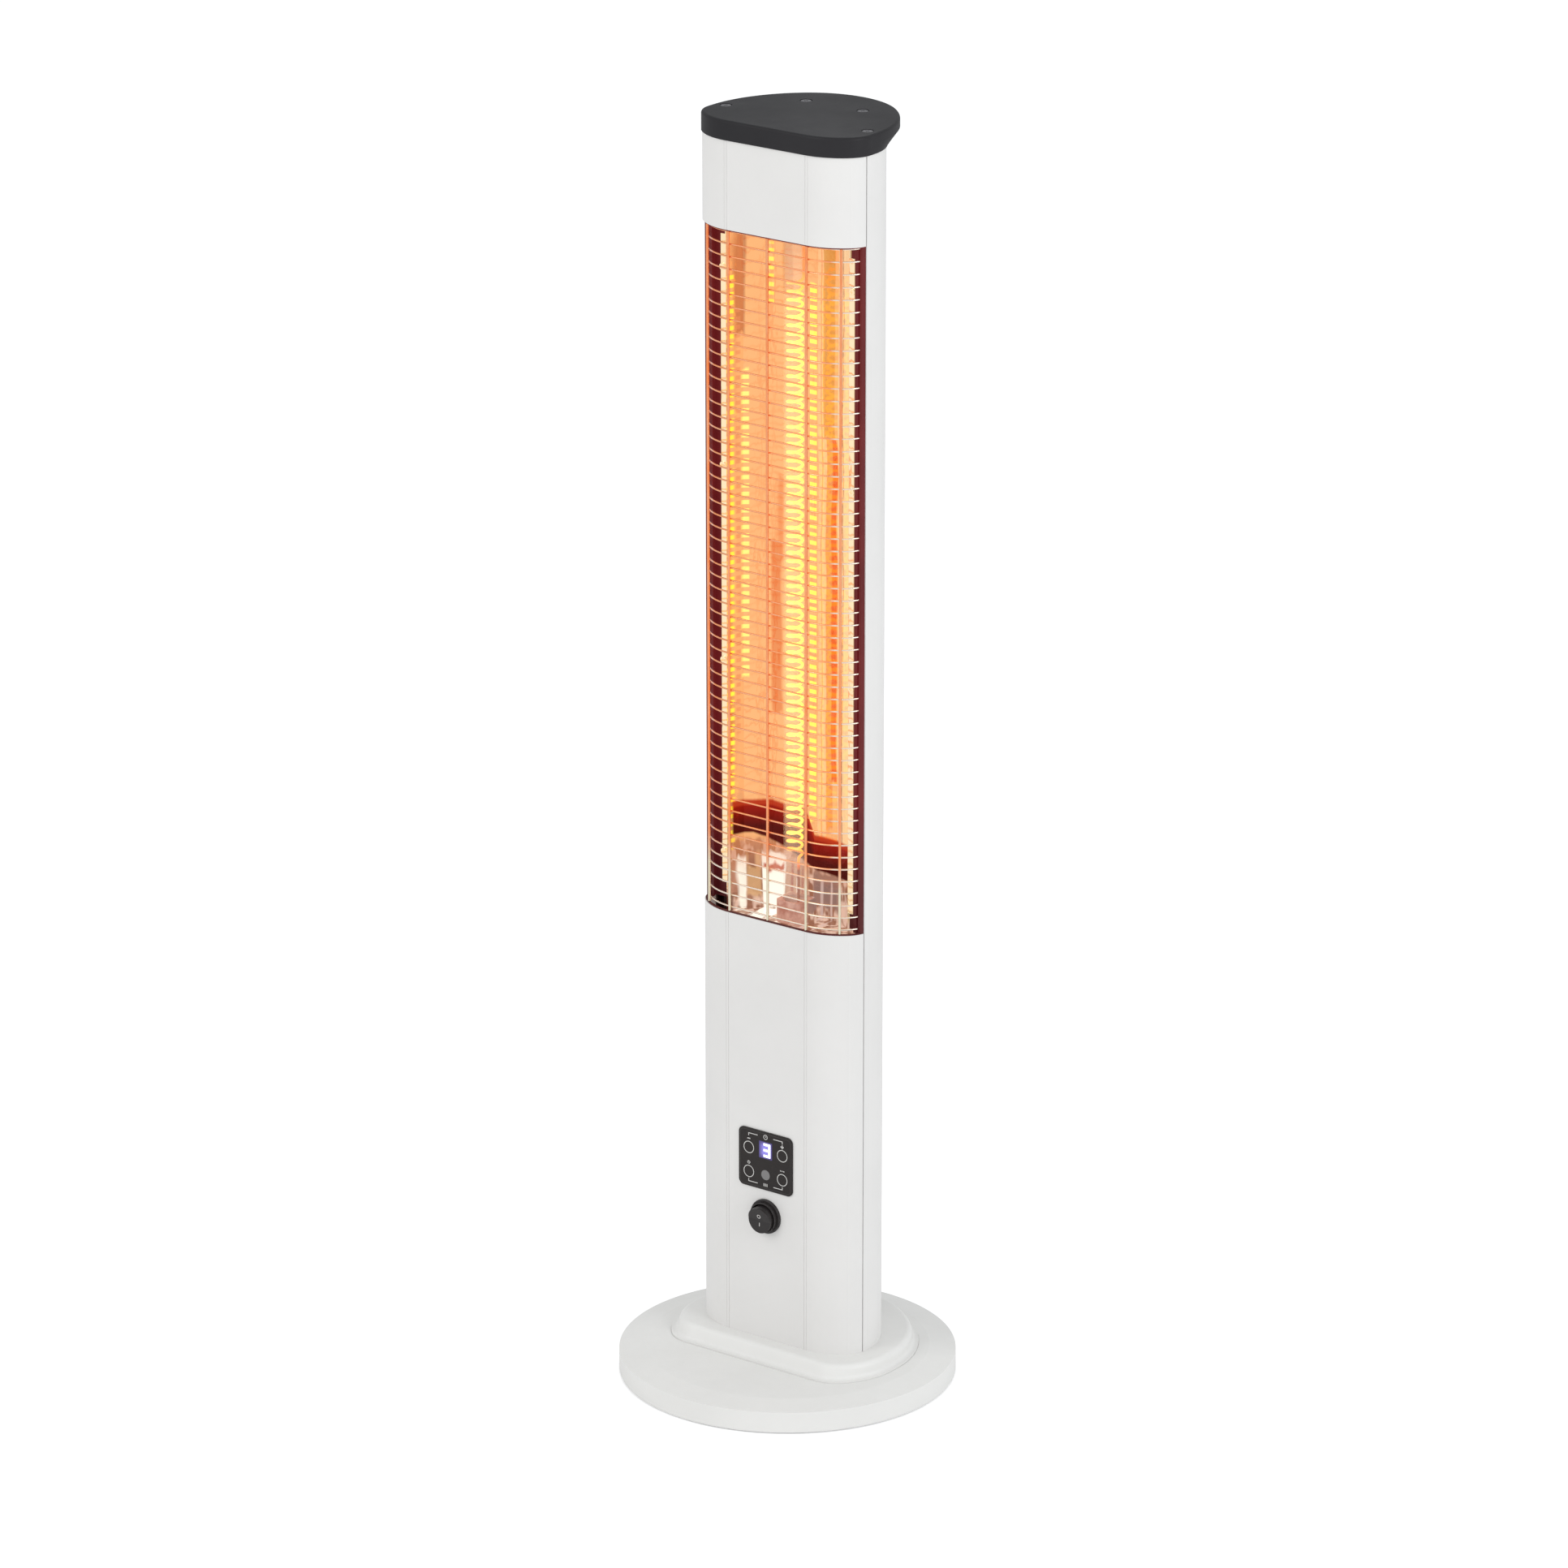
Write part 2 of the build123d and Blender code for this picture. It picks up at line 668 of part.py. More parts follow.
def side_rail(side):
    """Dark rail at one edge of the window; its groove takes the ends of the wires."""
    with BuildPart() as rail:
        with BuildSketch(Plane.XY.offset(window_low_z)):
            add(band(rail_outer_inset, rail_inner_inset, rail_top_y, shell_edge_y - hook_gap))
            add(band(skin + hook_gap, rail_inner_inset, cover_edge_y,
                     rail_floor_y + rail_floor_thickness))
            add(band(skin + hook_gap, skin + hook_gap + hook_thickness, rail_floor_y, hook_back_y))
            floor_x = tower_form.side_x - rail_inner_inset
            with Locations((side * (floor_x + rail_floor_inner_x) / 2,
                            rail_floor_y + rail_floor_thickness / 2)):
                Rectangle(floor_x - rail_floor_inner_x + 2 * hook_gap, rail_floor_thickness)
            add(band(rail_groove_outer, rail_groove_inner,
                     2 * rail_top_y, rail_groove_floor_y), mode=Mode.SUBTRACT)
            with Locations((side * far_x / 2, 0)):
                Rectangle(far_x, 2 * far_y, mode=Mode.INTERSECT)
        extrude(amount=window_height)
        screw_spots = [(side * reflector_screw_x, rail_floor_y, z) for z in reflector_screw_levels]
        with Locations(*screw_spots):
            Cylinder(small_screw.shank + hook_gap, 4 * rail_floor_thickness,
                     rotation=(90, 0, 0), mode=Mode.SUBTRACT)
    return rail


screw_span = window_height - 2 * reflector_screw_margin
reflector_screw_levels = [window_low_z + reflector_screw_margin
                          + screw_span * i / (reflector_screw_count - 1)
                          for i in range(reflector_screw_count)]
left_side_rail = side_rail(-1)
save(left_side_rail, "left_side_rail")
right_side_rail = side_rail(1)
save(right_side_rail, "right_side_rail")


# ---------------------------------------------------------------------------- wire guard
def guard_route(inset, end_angle):
    """Line of one bent wire, from the left rail round the front to the right rail."""
    wide_centre, wide, tight_centre, tight = corner_arcs(tower_form)
    with BuildLine() as route:
        Line((0, front_y + inset), (tower_form.flat_half, front_y + inset))
        CenterArc(wide_centre, wide - inset, -90, corner_sweep)
        CenterArc(tight_centre, tight - inset, corner_sweep - 90,
                  90 - corner_sweep + end_angle)
        mirror(about=Plane.YZ)
    return route.wires()[0]


wire_line = guard_route(wire_inset, wire_end_angle)
with BuildPart() as one_wire:
    add(wire_line)
    with BuildSketch(Plane(origin=wire_line @ 0, z_dir=wire_line % 0)):
        Circle(wire_radius)
    sweep()
first_wire_z = window_low_z + first_wire_above_edge
wire_span = window_height - first_wire_above_edge - last_wire_margin
wire_count = int(wire_span // wire_pitch) + 1
with BuildPart() as grille_wires:
    with Locations(*[(0, 0, first_wire_z + wire_pitch * i) for i in range(wire_count)]):
        add(one_wire.part)
save(grille_wires, "grille_wires")

wide_centre, wide_radius, _, _ = corner_arcs(tower_form)
upright_inset = wire_inset - wire_radius - upright_radius
upright_reach = wide_radius - upright_inset
outer_upright = (wide_centre[0] + upright_reach * cos(radians(upright_angle)),
                 wide_centre[1] + upright_reach * sin(radians(upright_angle)))
upright_spots = [(0, front_y + upright_inset)]
for x, y in [(tower_form.flat_half, front_y + upright_inset), outer_upright]:
    upright_spots += [(x, y), (-x, y)]
upright_low_z = window_low_z + trim_thickness + upright_end_gap
upright_high_z = window_high_z - trim_thickness - upright_end_gap
with BuildPart() as grille_uprights:
    with BuildSketch(Plane.XY.offset(upright_low_z)):
        with Locations(*upright_spots):
            Circle(upright_radius)
    extrude(amount=upright_high_z - upright_low_z)
save(grille_uprights, "grille_uprights")

# ---------------------------------------------------------------------------- reflector
chamber_height = chamber_high_z - chamber_low_z
profile = [Vector(*point) for point in reflector_profile]
ahead = [(after - point).normalized() for point, after in zip(profile, profile[1:])]
outward = [Vector(way.Y, -way.X) for way in ahead]
sheet_back = [profile[0] + outward[0] * reflector_sheet]
for corner in range(1, reflector_fold + 1):
    both = outward[corner - 1] + outward[corner]
    sheet_back.append(profile[corner] + both * (2 * reflector_sheet / both.dot(both)))
along, behind = ahead[reflector_fold], outward[reflector_fold] * reflector_sheet
strip_turn = profile[reflector_fold] + along * reflector_return
with BuildPart() as reflector:
    half = [strip_turn, *profile[reflector_fold + 1:]]
    with BuildSketch(Plane.XY.offset(chamber_low_z)):
        with BuildLine():
            Polyline(*half, *[Vector(-point.X, point.Y) for point in reversed(half)])
            offset(amount=reflector_sheet, side=Side.RIGHT, kind=Kind.TANGENT)
        make_face()
    extrude(amount=chamber_height)
save(reflector, "reflector")

with BuildPart() as reflector_sides:
    with BuildSketch(Plane.XY.offset(chamber_low_z)):
        with BuildLine():
            Polyline(*profile[:reflector_fold + 1], strip_turn, strip_turn + behind,
                     strip_turn + along * reflector_lap + behind,
                     strip_turn + along * reflector_lap + behind * 2,
                     strip_turn - along * reflector_sheet + behind * 2,
                     strip_turn - along * reflector_sheet + behind,
                     *reversed(sheet_back), close=True)
        make_face()
        mirror(about=Plane.YZ)
    extrude(amount=chamber_height)
    flange_x, flange_y = reflector_profile[0]
    wall_x = reflector_profile[1][0] + reflector_sheet
    for low_z in (chamber_low_z, chamber_high_z - flange_trim):
        for side in (1, -1):
            with Locations((side * (wall_x + flange_x) / 2, flange_y, low_z)):
                Box(flange_x - wall_x + 0.001, 4 * reflector_sheet, flange_trim,
                    align=(Align.CENTER, Align.CENTER, Align.MIN), mode=Mode.SUBTRACT)
    with Locations(*[(side * reflector_screw_x, flange_y, z) for z in reflector_screw_levels
                     for side in (1, -1)]):
        Cylinder(small_screw.shank + hook_gap, 4 * reflector_sheet, rotation=(90, 0, 0),
                 mode=Mode.SUBTRACT)
save(reflector_sides, "reflector_sides")

reflector_screw_length = reflector_sheet + rail_floor_thickness + screw_tip
with BuildPart() as reflector_screws:
    pressed = screw(small_screw, reflector_screw_length).rotate(Axis.X, -90)
    with Locations(*[(side * reflector_screw_x, flange_y, z) for z in reflector_screw_levels
                     for side in (1, -1)]):
        add(pressed)
save(reflector_screws, "reflector_screws")


def chamber_plate(low_z):
    """End plate of the lamp chamber, with the hole for a lamp lead."""
    with BuildPart() as plate:
        with BuildSketch(Plane.XY.offset(low_z)):
            add(outline(tower_form, skin + end_plate_gap))
            with Locations((0, (chamber_plate_back_y - far_y) / 2)):
                Rectangle(2 * chamber_plate_half_width, chamber_plate_back_y + far_y,
                          mode=Mode.INTERSECT)
            with Locations((0, lamp_y)):
                Circle(lead_radius + lead_hole_gap, mode=Mode.SUBTRACT)
        extrude(amount=chamber_plate_thickness)
    return plate


chamber_floor = chamber_plate(chamber_low_z - chamber_plate_thickness)
save(chamber_floor, "chamber_floor")
chamber_ceiling = chamber_plate(chamber_high_z)
save(chamber_ceiling, "chamber_ceiling")

# --------------------------------------------------------------------------------- lamp
tube_low_z = window_low_z + tube_bottom_above_edge
tube_high_z = window_high_z - tube_top_below_edge
with BuildPart() as quartz_tube:
    with BuildSketch(Plane.XY.offset(tube_low_z)):
        with Locations((0, lamp_y)):
            Circle(tube_radius)
            Circle(tube_radius - tube_wall, mode=Mode.SUBTRACT)
    extrude(amount=tube_high_z - tube_low_z)
save(quartz_tube, "quartz_tube")

coil_low_z = window_low_z + coil_bottom_above_edge
coil_length = window_height - coil_bottom_above_edge - coil_top_below_edge
coil_turns = round(coil_length / coil_pitch_aim)
coil_pitch = coil_length / coil_turns


def coil_point(turn):
    """Point and direction of the heating strand after a number of turns."""
    angle = 2 * pi * turn
    point = Vector(coil_radius * cos(angle), lamp_y + coil_radius * sin(angle),
                   coil_low_z + coil_pitch * turn)
    ahead = Vector(-coil_radius * sin(angle), coil_radius * cos(angle), coil_pitch / (2 * pi))
    return point, ahead.normalized()


def biarc(start, start_ahead, end, end_ahead):
    """Two arcs that leave start and reach end in the given directions."""
    chord = end - start
    both = start_ahead + end_ahead
    a = both.dot(both) - 4
    b = -2 * chord.dot(both)
    c = chord.dot(chord)
    reach = (-b - sqrt(b * b - 4 * a * c)) / (2 * a)
    first = start + start_ahead * reach
    second = end - end_ahead * reach
    middle = (first + second) * 0.5
    return [TangentArc(start, middle, tangent=start_ahead),
            TangentArc(middle, end, tangent=(second - first).normalized())]


with BuildPart() as heating_coil:
    with BuildLine() as strand:
        low_point, low_ahead = coil_point(0)
        high_point, high_ahead = coil_point(coil_turns)
        low_bend = low_point - Vector(0, coil_lead_bend, coil_lead_bend)
        high_bend = high_point + Vector(0, coil_lead_bend, coil_lead_bend)
        up = Vector(0, 0, 1)
        Line((low_bend.X, low_bend.Y, tube_low_z), low_bend)
        biarc(low_bend, up, low_point, low_ahead)
        for half_turn in range(2 * coil_turns):
            biarc(*coil_point(half_turn / 2), *coil_point((half_turn + 1) / 2))
        biarc(high_point, high_ahead, high_bend, up)
        Line(high_bend, (high_bend.X, high_bend.Y, tube_high_z))
    with BuildSketch(Plane(origin=(low_bend.X, low_bend.Y, tube_low_z), z_dir=up)):
        Circle(coil_strand_radius)
    sweep()
save(heating_coil, "heating_coil")

runs = strand.line.edges()
strand_points = [run @ (step / 4) for run in runs for step in range(4)]
turn_points = len(strand_points) // coil_turns
least_gap = min((near - far).length for i, near in enumerate(strand_points)
                for far in strand_points[i + turn_points // 2:i + 2 * turn_points])
print(f"heating coil: {coil_turns} turns, pitch {coil_pitch:.2f}, least gap between its "
      f"turns {least_gap - 2 * coil_strand_radius:.2f} mm")


lamp_cap_width = 2 * (tube_radius + lamp_cap_side_wall)
lamp_cap_depth = 2 * (tube_radius + lamp_cap_face_wall)


def lamp_cap(low_z, socket_z, lead_side):
    """Ceramic block on one end of the lamp, open towards the tube."""
    with BuildPart() as block:
        with BuildSketch(Plane.XY.offset(low_z)):
            with Locations((0, lamp_y)):
                RectangleRounded(lamp_cap_width, lamp_cap_depth, lamp_cap_round)
        extrude(amount=lamp_cap_height)
        with Locations((0, lamp_y, socket_z)):
            Cylinder(tube_radius + lamp_socket_gap, lamp_socket_depth, mode=Mode.SUBTRACT,
                     align=(Align.CENTER, Align.CENTER, Align.MIN))
        chamfer(block.faces().sort_by(Axis.Z)[0 if lead_side < 0 else -1].edges(),
                lamp_cap_chamfer)
    return block


lower_cap_low_z = tube_low_z + lamp_socket_depth - lamp_cap_height
upper_cap_low_z = tube_high_z - lamp_socket_depth
upper_cap_high_z = upper_cap_low_z + lamp_cap_height
lower_lamp_cap = lamp_cap(lower_cap_low_z, tube_low_z, -1)
save(lower_lamp_cap, "lower_lamp_cap")
upper_lamp_cap = lamp_cap(upper_cap_low_z, upper_cap_low_z, 1)
save(upper_lamp_cap, "upper_lamp_cap")


def lamp_bracket(base_z, cap_far_z, towards):
    """Sheet clip that stands on an end plate and holds a ceramic block by three sides."""
    back_y = lamp_y + lamp_cap_depth / 2
    height = abs(cap_far_z - base_z)
    grow = Align.MIN if towards > 0 else Align.MAX
    with BuildPart() as clip:
        with Locations((0, back_y, base_z)):
            Box(lamp_cap_width + 2 * bracket_sheet, bracket_sheet, height,
                align=(Align.CENTER, Align.MIN, grow))
        with Locations((0, back_y + bracket_sheet - bracket_foot_depth, base_z)):
            Box(lamp_cap_width + 2 * bracket_sheet, bracket_foot_depth, bracket_sheet,
                align=(Align.CENTER, Align.MIN, grow))
        for side in (1, -1):
            with Locations((side * (lamp_cap_width + bracket_sheet) / 2, back_y, cap_far_z)):
                Box(bracket_sheet, bracket_ear_depth, lamp_cap_height,
                    align=(Align.CENTER, Align.MAX, Align.MAX if towards > 0 else Align.MIN))
        with Locations((0, lamp_y, base_z)):
            Cylinder(lead_radius + lead_hole_gap, 4 * bracket_sheet, mode=Mode.SUBTRACT)
    return clip


lower_lamp_bracket = lamp_bracket(chamber_low_z, lower_cap_low_z + lamp_cap_height, 1)
save(lower_lamp_bracket, "lower_lamp_bracket")
upper_lamp_bracket = lamp_bracket(chamber_high_z, upper_cap_low_z, -1)
save(upper_lamp_bracket, "upper_lamp_bracket")

reflector_back_y = reflector_profile[-1][1] + reflector_sheet
with BuildPart() as thermal_cutout:
    cutout_z = window_high_z - cutout_below_edge
    with BuildSketch(Plane.XZ.offset(-reflector_back_y)):
        with Locations((0, cutout_z)):
            Circle(cutout_radius)
    extrude(amount=-cutout_height)
    fillet(thermal_cutout.faces().sort_by(Axis.Y)[-1].edges(), cutout_height / 6)
    with BuildSketch(Plane.XZ.offset(-(reflector_back_y + cutout_height / 2))):
        with Locations((0, cutout_z)):
            Rectangle(*cutout_tabs)
    extrude(amount=-tab_thickness)
save(thermal_cutout, "thermal_cutout")

# ------------------------------------------------------------------------- power board
chassis_front_y = slot_y - chassis_thickness / 2
chassis_back_y = slot_y + chassis_thickness / 2
chassis_top_z = window_low_z - chassis_top_below_edge
board_back_y = chassis_front_y - spacer_height
board_front_y = board_back_y - power_board_thickness
board_middle_z = window_low_z - power_board_below_edge
hole_x = power_board_width / 2 - board_hole_margin
hole_z = power_board_height / 2 - board_hole_margin
board_holes = [(sx * hole_x, board_middle_z + sz * hole_z) for sx in (1, -1) for sz in (1, -1)]


def half_width_at(y, inset):
    """Half width of the column at a depth in its flank, inside the given inset."""
    flank_centre = flank_arcs(tower_form)[0]
    reach = tower_form.flank_r - inset
    return flank_centre[0] + sqrt(reach**2 - (y - flank_centre[1])**2)


chassis_half_width = half_width_at(chassis_back_y, skin) - chassis_edge_gap
with BuildPart() as chassis_plate:
    with BuildSketch(Plane.XZ.offset(-chassis_front_y)):
        with Locations((0, (foot_plate_top_z + chassis_top_z) / 2)):
            Rectangle(2 * chassis_half_width, chassis_top_z - foot_plate_top_z)
        with Locations(*board_holes):
            Circle(small_screw.shank + hook_gap, mode=Mode.SUBTRACT)
        with Locations((0, switch_z)):
            Circle(chassis_hole_radius, mode=Mode.SUBTRACT)
    extrude(amount=-chassis_thickness)
save(chassis_plate, "chassis_plate")

with BuildPart() as board_spacers:
    with BuildSketch(Plane.XZ.offset(-board_back_y)):
        with Locations(*board_holes):
            Circle(spacer_radius)
            Circle(small_screw.shank + hook_gap, mode=Mode.SUBTRACT)
    extrude(amount=-spacer_height)
save(board_spacers, "board_spacers")

with BuildPart() as power_board:
    with BuildSketch(Plane.XZ.offset(-board_front_y)):
        with Locations((0, board_middle_z)):
            RectangleRounded(power_board_width, power_board_height, board_hole_margin / 2)
        with Locations(*board_holes):
            Circle(small_screw.shank + hook_gap, mode=Mode.SUBTRACT)
    extrude(amount=-power_board_thickness)
save(power_board, "power_board")


def on_board(places, size):
    """Component bodies that stand on the front of the power board."""
    width, depth, height = size
    with BuildPart() as body:
        with BuildSketch(Plane.XZ.offset(-board_front_y)):
            with Locations(*[(x, board_middle_z + z) for x, z in places]):
                RectangleRounded(width, height, component_round)
        extrude(amount=depth)
        chamfer(body.faces().sort_by(Axis.Y)[0].edges(), component_chamfer)
    return body


relay_places = [(relay_x, relay_above_board_middle), (-relay_x, relay_above_board_middle)]
relay = on_board(relay_places, relay_size)
save(relay, "relays")
transformer = on_board([transformer_place], transformer_size)
save(transformer, "transformer")
capacitor = on_board([capacitor_place], capacitor_size)
save(capacitor, "capacitor")
tilt_switch = on_board([tilt_switch_place], tilt_switch_size)
save(tilt_switch, "tilt_switch")

with BuildPart() as terminal_block:
    width, depth, height = terminal_block_size
    with Locations((0, terminal_block_y, foot_plate_top_z)):
        Box(width, depth, height, align=(Align.CENTER, Align.CENTER, Align.MIN))
    with Locations((0, terminal_block_y, foot_plate_top_z + height)):
        with GridLocations(width / 3, depth, 3, 1):
            Cylinder(terminal_radius, height / 3, align=(Align.CENTER, Align.CENTER, Align.MAX),
                     mode=Mode.SUBTRACT)
save(terminal_block, "terminal_block")

relay_top_z = board_middle_z + relay_above_board_middle + relay_size[2] / 2
lead_turn_z = (chamber_low_z + chassis_top_z) / 2
with BuildPart() as lamp_leads:
    add(lead([(0, lamp_y, lower_cap_low_z), (0, lamp_y, lead_turn_z),
              (-relay_x, lamp_y, lead_turn_z - relay_x), (-relay_x, lamp_y, relay_top_z)]))
    add(lead([(0, lamp_y, upper_cap_high_z), (0, lamp_y, chamber_high_z + 2 * lead_bend),
              (0, lead_back_y, chamber_high_z + 2 * lead_bend),
              (0, lead_back_y, chassis_top_z + 2 * lead_bend),
              (relay_x, lamp_y, chassis_top_z - lead_bend),
              (relay_x, lamp_y, relay_top_z)]))
save(lamp_leads, "lamp_leads")

# ------------------------------------------------------------------------ control panel
panel_face = Plane.XZ.offset(-front_y)
key_places = {"minus_key": (-key_x, upper_key_z), "plus_key": (key_x, upper_key_z),
              "off_key": (-key_x, lower_key_z), "mode_key": (key_x, lower_key_z)}
key_spots = [(x, panel_z + z) for x, z in key_places.values()]


def panel_openings(grow):
    """Holes for the keys, the display and the receiver, grown by a fit."""
    with BuildSketch() as holes:
        with Locations(*key_spots):
            Circle(key_radius + key_gap)
        with Locations((0, panel_z + display_z)):
            Rectangle(display_width + 2 * grow, display_height + 2 * grow)
        with Locations((0, panel_z + receiver_z)):
            Circle(receiver_radius + grow)
    return holes.sketch


with BuildPart() as panel_bezel:
    with BuildSketch(panel_face):
        with Locations((0, panel_z)):
            RectangleRounded(panel_width, panel_height, panel_round)
        add(panel_openings(window_fit), mode=Mode.SUBTRACT)
    extrude(amount=bezel_plate)
    with BuildSketch(panel_face):
        with Locations((0, panel_z)):
            Rectangle(bezel_body_width, bezel_body_height)
            Rectangle(bezel_body_width - 2 * bezel_body_wall,
                      bezel_body_height - 2 * bezel_body_wall, mode=Mode.SUBTRACT)
    extrude(amount=-bezel_body_depth)
    with BuildSketch(panel_face):
        with Locations(*[(x, panel_z + z) for x, z in bezel_bosses]):
            Circle(bezel_boss_radius)
            Circle(fine_screw.shank + hook_gap / 2, mode=Mode.SUBTRACT)
    extrude(amount=-control_board_depth)
save(panel_bezel, "panel_bezel")

with BuildPart() as panel_overlay:
    with BuildSketch(panel_face.offset(bezel_plate)):
        with Locations((0, panel_z)):
            RectangleRounded(panel_width, panel_height, panel_round)
        add(panel_openings(window_fit), mode=Mode.SUBTRACT)
    extrude(amount=overlay_thickness)
save(panel_overlay, "panel_overlay")

panel_proud = bezel_plate + overlay_thickness
for key_name, (key_at_x, key_at_z) in key_places.items():
    with BuildPart() as key:
        with BuildSketch(panel_face):
            with Locations((key_at_x, panel_z + key_at_z)):
                Circle(key_radius)
        extrude(amount=panel_proud + key_proud)
        fillet(key.faces().sort_by(Axis.Y)[0].edges(), key_edge_round)
        with BuildSketch(panel_face):
            with Locations((key_at_x, panel_z + key_at_z)):
                Circle(key_flange_radius)
        extrude(amount=-key_flange_thickness)
        with BuildSketch(panel_face.offset(-key_flange_thickness)):
            with Locations((key_at_x, panel_z + key_at_z)):
                Circle(key_stem_radius)
        extrude(amount=-key_stem_length)
    save(key, key_name)

with BuildPart() as display_window:
    with BuildSketch(panel_face):
        with Locations((0, panel_z + display_z)):
            Rectangle(display_width, display_height)
    extrude(amount=panel_proud)
save(display_window, "display_window")

with BuildPart() as infrared_window:
    with BuildSketch(panel_face):
        with Locations((0, panel_z + receiver_z)):
            Circle(receiver_radius)
    extrude(amount=panel_proud)
save(infrared_window, "infrared_window")

with BuildPart() as control_board:
    with BuildSketch(panel_face.offset(-control_board_depth)):
        with Locations((0, panel_z)):
            Rectangle(control_board_width, control_board_height)
        with Locations(*[(x, panel_z + z) for x, z in bezel_bosses]):
            Circle(fine_screw.shank + hook_gap, mode=Mode.SUBTRACT)
    extrude(amount=-control_board_thickness)
save(control_board, "control_board")

board_plane = panel_face.offset(-control_board_depth)
with BuildPart() as tact_switches:
    with BuildSketch(board_plane):
        with Locations(*key_spots):
            Rectangle(tact_size, tact_size)
    extrude(amount=tact_height)
    with BuildSketch(board_plane):
        with Locations(*key_spots):
            Circle(tact_cap_radius)
    extrude(amount=control_board_depth - key_flange_thickness - key_stem_length
            - key_travel - window_fit)
save(tact_switches, "tact_switches")

with BuildPart() as display_module:
    with BuildSketch(board_plane):
        with Locations((0, panel_z + display_z)):
            Rectangle(display_width - 2 * window_fit, display_height - 2 * window_fit)
    extrude(amount=control_board_depth - display_module_gap)
save(display_module, "display_module")

with BuildPart() as receiver_diode:
    with BuildSketch(board_plane):
        with Locations((0, panel_z + receiver_z)):
            Rectangle(*receiver_diode_size)
    extrude(amount=control_board_depth - display_module_gap - receiver_radius / 2)
    with BuildSketch(board_plane):
        with Locations((0, panel_z + receiver_z)):
            Circle(receiver_radius / 2)
    extrude(amount=control_board_depth - display_module_gap)
save(receiver_diode, "receiver_diode")

board_back = front_y + control_board_depth + control_board_thickness
board_screw_length = spacer_height + power_board_thickness + chassis_thickness + screw_tip
with BuildPart() as board_screws:
    forward = screw(small_screw, board_screw_length).rotate(Axis.X, -90)
    with Locations(*[(x, board_front_y, z) for x, z in board_holes]):
        add(forward)
    backward = screw(fine_screw, control_board_thickness + control_board_depth / 2)
    with Locations(*[(x, board_back, panel_z + z) for x, z in bezel_bosses]):
        add(backward.rotate(Axis.X, 90))
save(board_screws, "board_screws")

# ------------------------------------------------------------------------ rocker switch
pivot_y = front_y - switch_flange_thickness
with BuildPart() as switch_body:
    with BuildSketch(panel_face):
        with Locations((0, switch_z)):
            Circle(switch_flange_radius)
    extrude(amount=switch_flange_thickness)
    fillet(switch_body.faces().sort_by(Axis.Y)[0].edges(), switch_flange_round)
    with BuildSketch(panel_face):
        with Locations((0, switch_z)):
            Circle(switch_ring_radius)
    extrude(amount=switch_ring_height)
    with BuildSketch(panel_face):
        with Locations((0, switch_z)):
            Circle(switch_barrel_radius)
    extrude(amount=-switch_barrel_length)
    with BuildSketch(panel_face.offset(switch_ring_height)):
        with Locations((0, switch_z)):
            Circle(switch_bore_radius)
    extrude(amount=-(switch_ring_height + switch_recess_depth), mode=Mode.SUBTRACT)
    fillet(switch_body.faces().sort_by(Axis.Y)[0].edges(), switch_ring_round)
    with Locations((0, pivot_y, switch_z)):
        Cylinder(pivot_pin_radius + pivot_pin_gap, 2 * (rocker_radius + pivot_bore_reach),
                 rotation=(0, 90, 0), mode=Mode.SUBTRACT)
save(switch_body, "switch_body")

with BuildPart() as neutral_rocker:
    with BuildSketch(Plane.XZ.offset(-(pivot_y + rocker_back))):
        Circle(rocker_radius)
    lean = rocker_radius * tan(radians(rocker_half_angle))
    extrude(amount=rocker_middle_height + (pivot_y + rocker_back - front_y) + lean)
    middle_y = front_y - rocker_middle_height
    with BuildSketch(Plane.YZ):
        with BuildLine():
            outer_y = middle_y - 1.2 * lean
            Polyline((middle_y, 0), (outer_y, 1.2 * rocker_radius), (outer_y - rocker_radius, 0),
                     (outer_y, -1.2 * rocker_radius), close=True)
        make_face()
    extrude(amount=far_x, both=True, mode=Mode.SUBTRACT)
    with Locations((0, pivot_y, 0)):
        Cylinder(pivot_pin_radius, 2 * (rocker_radius + pivot_pin_reach), rotation=(0, 90, 0))
with BuildPart() as switch_rocker:
    tilt = Location((0, pivot_y, switch_z)) * Location((0, 0, 0), (rocker_half_angle, 0, 0))
    add(neutral_rocker.part.moved(tilt * Location((0, -pivot_y, 0))))
save(switch_rocker, "switch_rocker")

with BuildPart() as switch_nut:
    with BuildSketch(panel_face.offset(-skin)):
        with Locations((0, switch_z)):
            RegularPolygon(nut_width / 2, 6, major_radius=False)
            Circle(switch_barrel_radius + nut_thread_gap, mode=Mode.SUBTRACT)
    extrude(amount=-nut_thickness)
save(switch_nut, "switch_nut")

with BuildPart() as switch_tabs:
    with BuildSketch(panel_face.offset(-switch_barrel_length)):
        with Locations((0, switch_z)):
            with GridLocations(1, tab_pitch, 1, 3):
                Rectangle(tab_width, tab_thickness)
    extrude(amount=-tab_length)
save(switch_tabs, "switch_tabs")

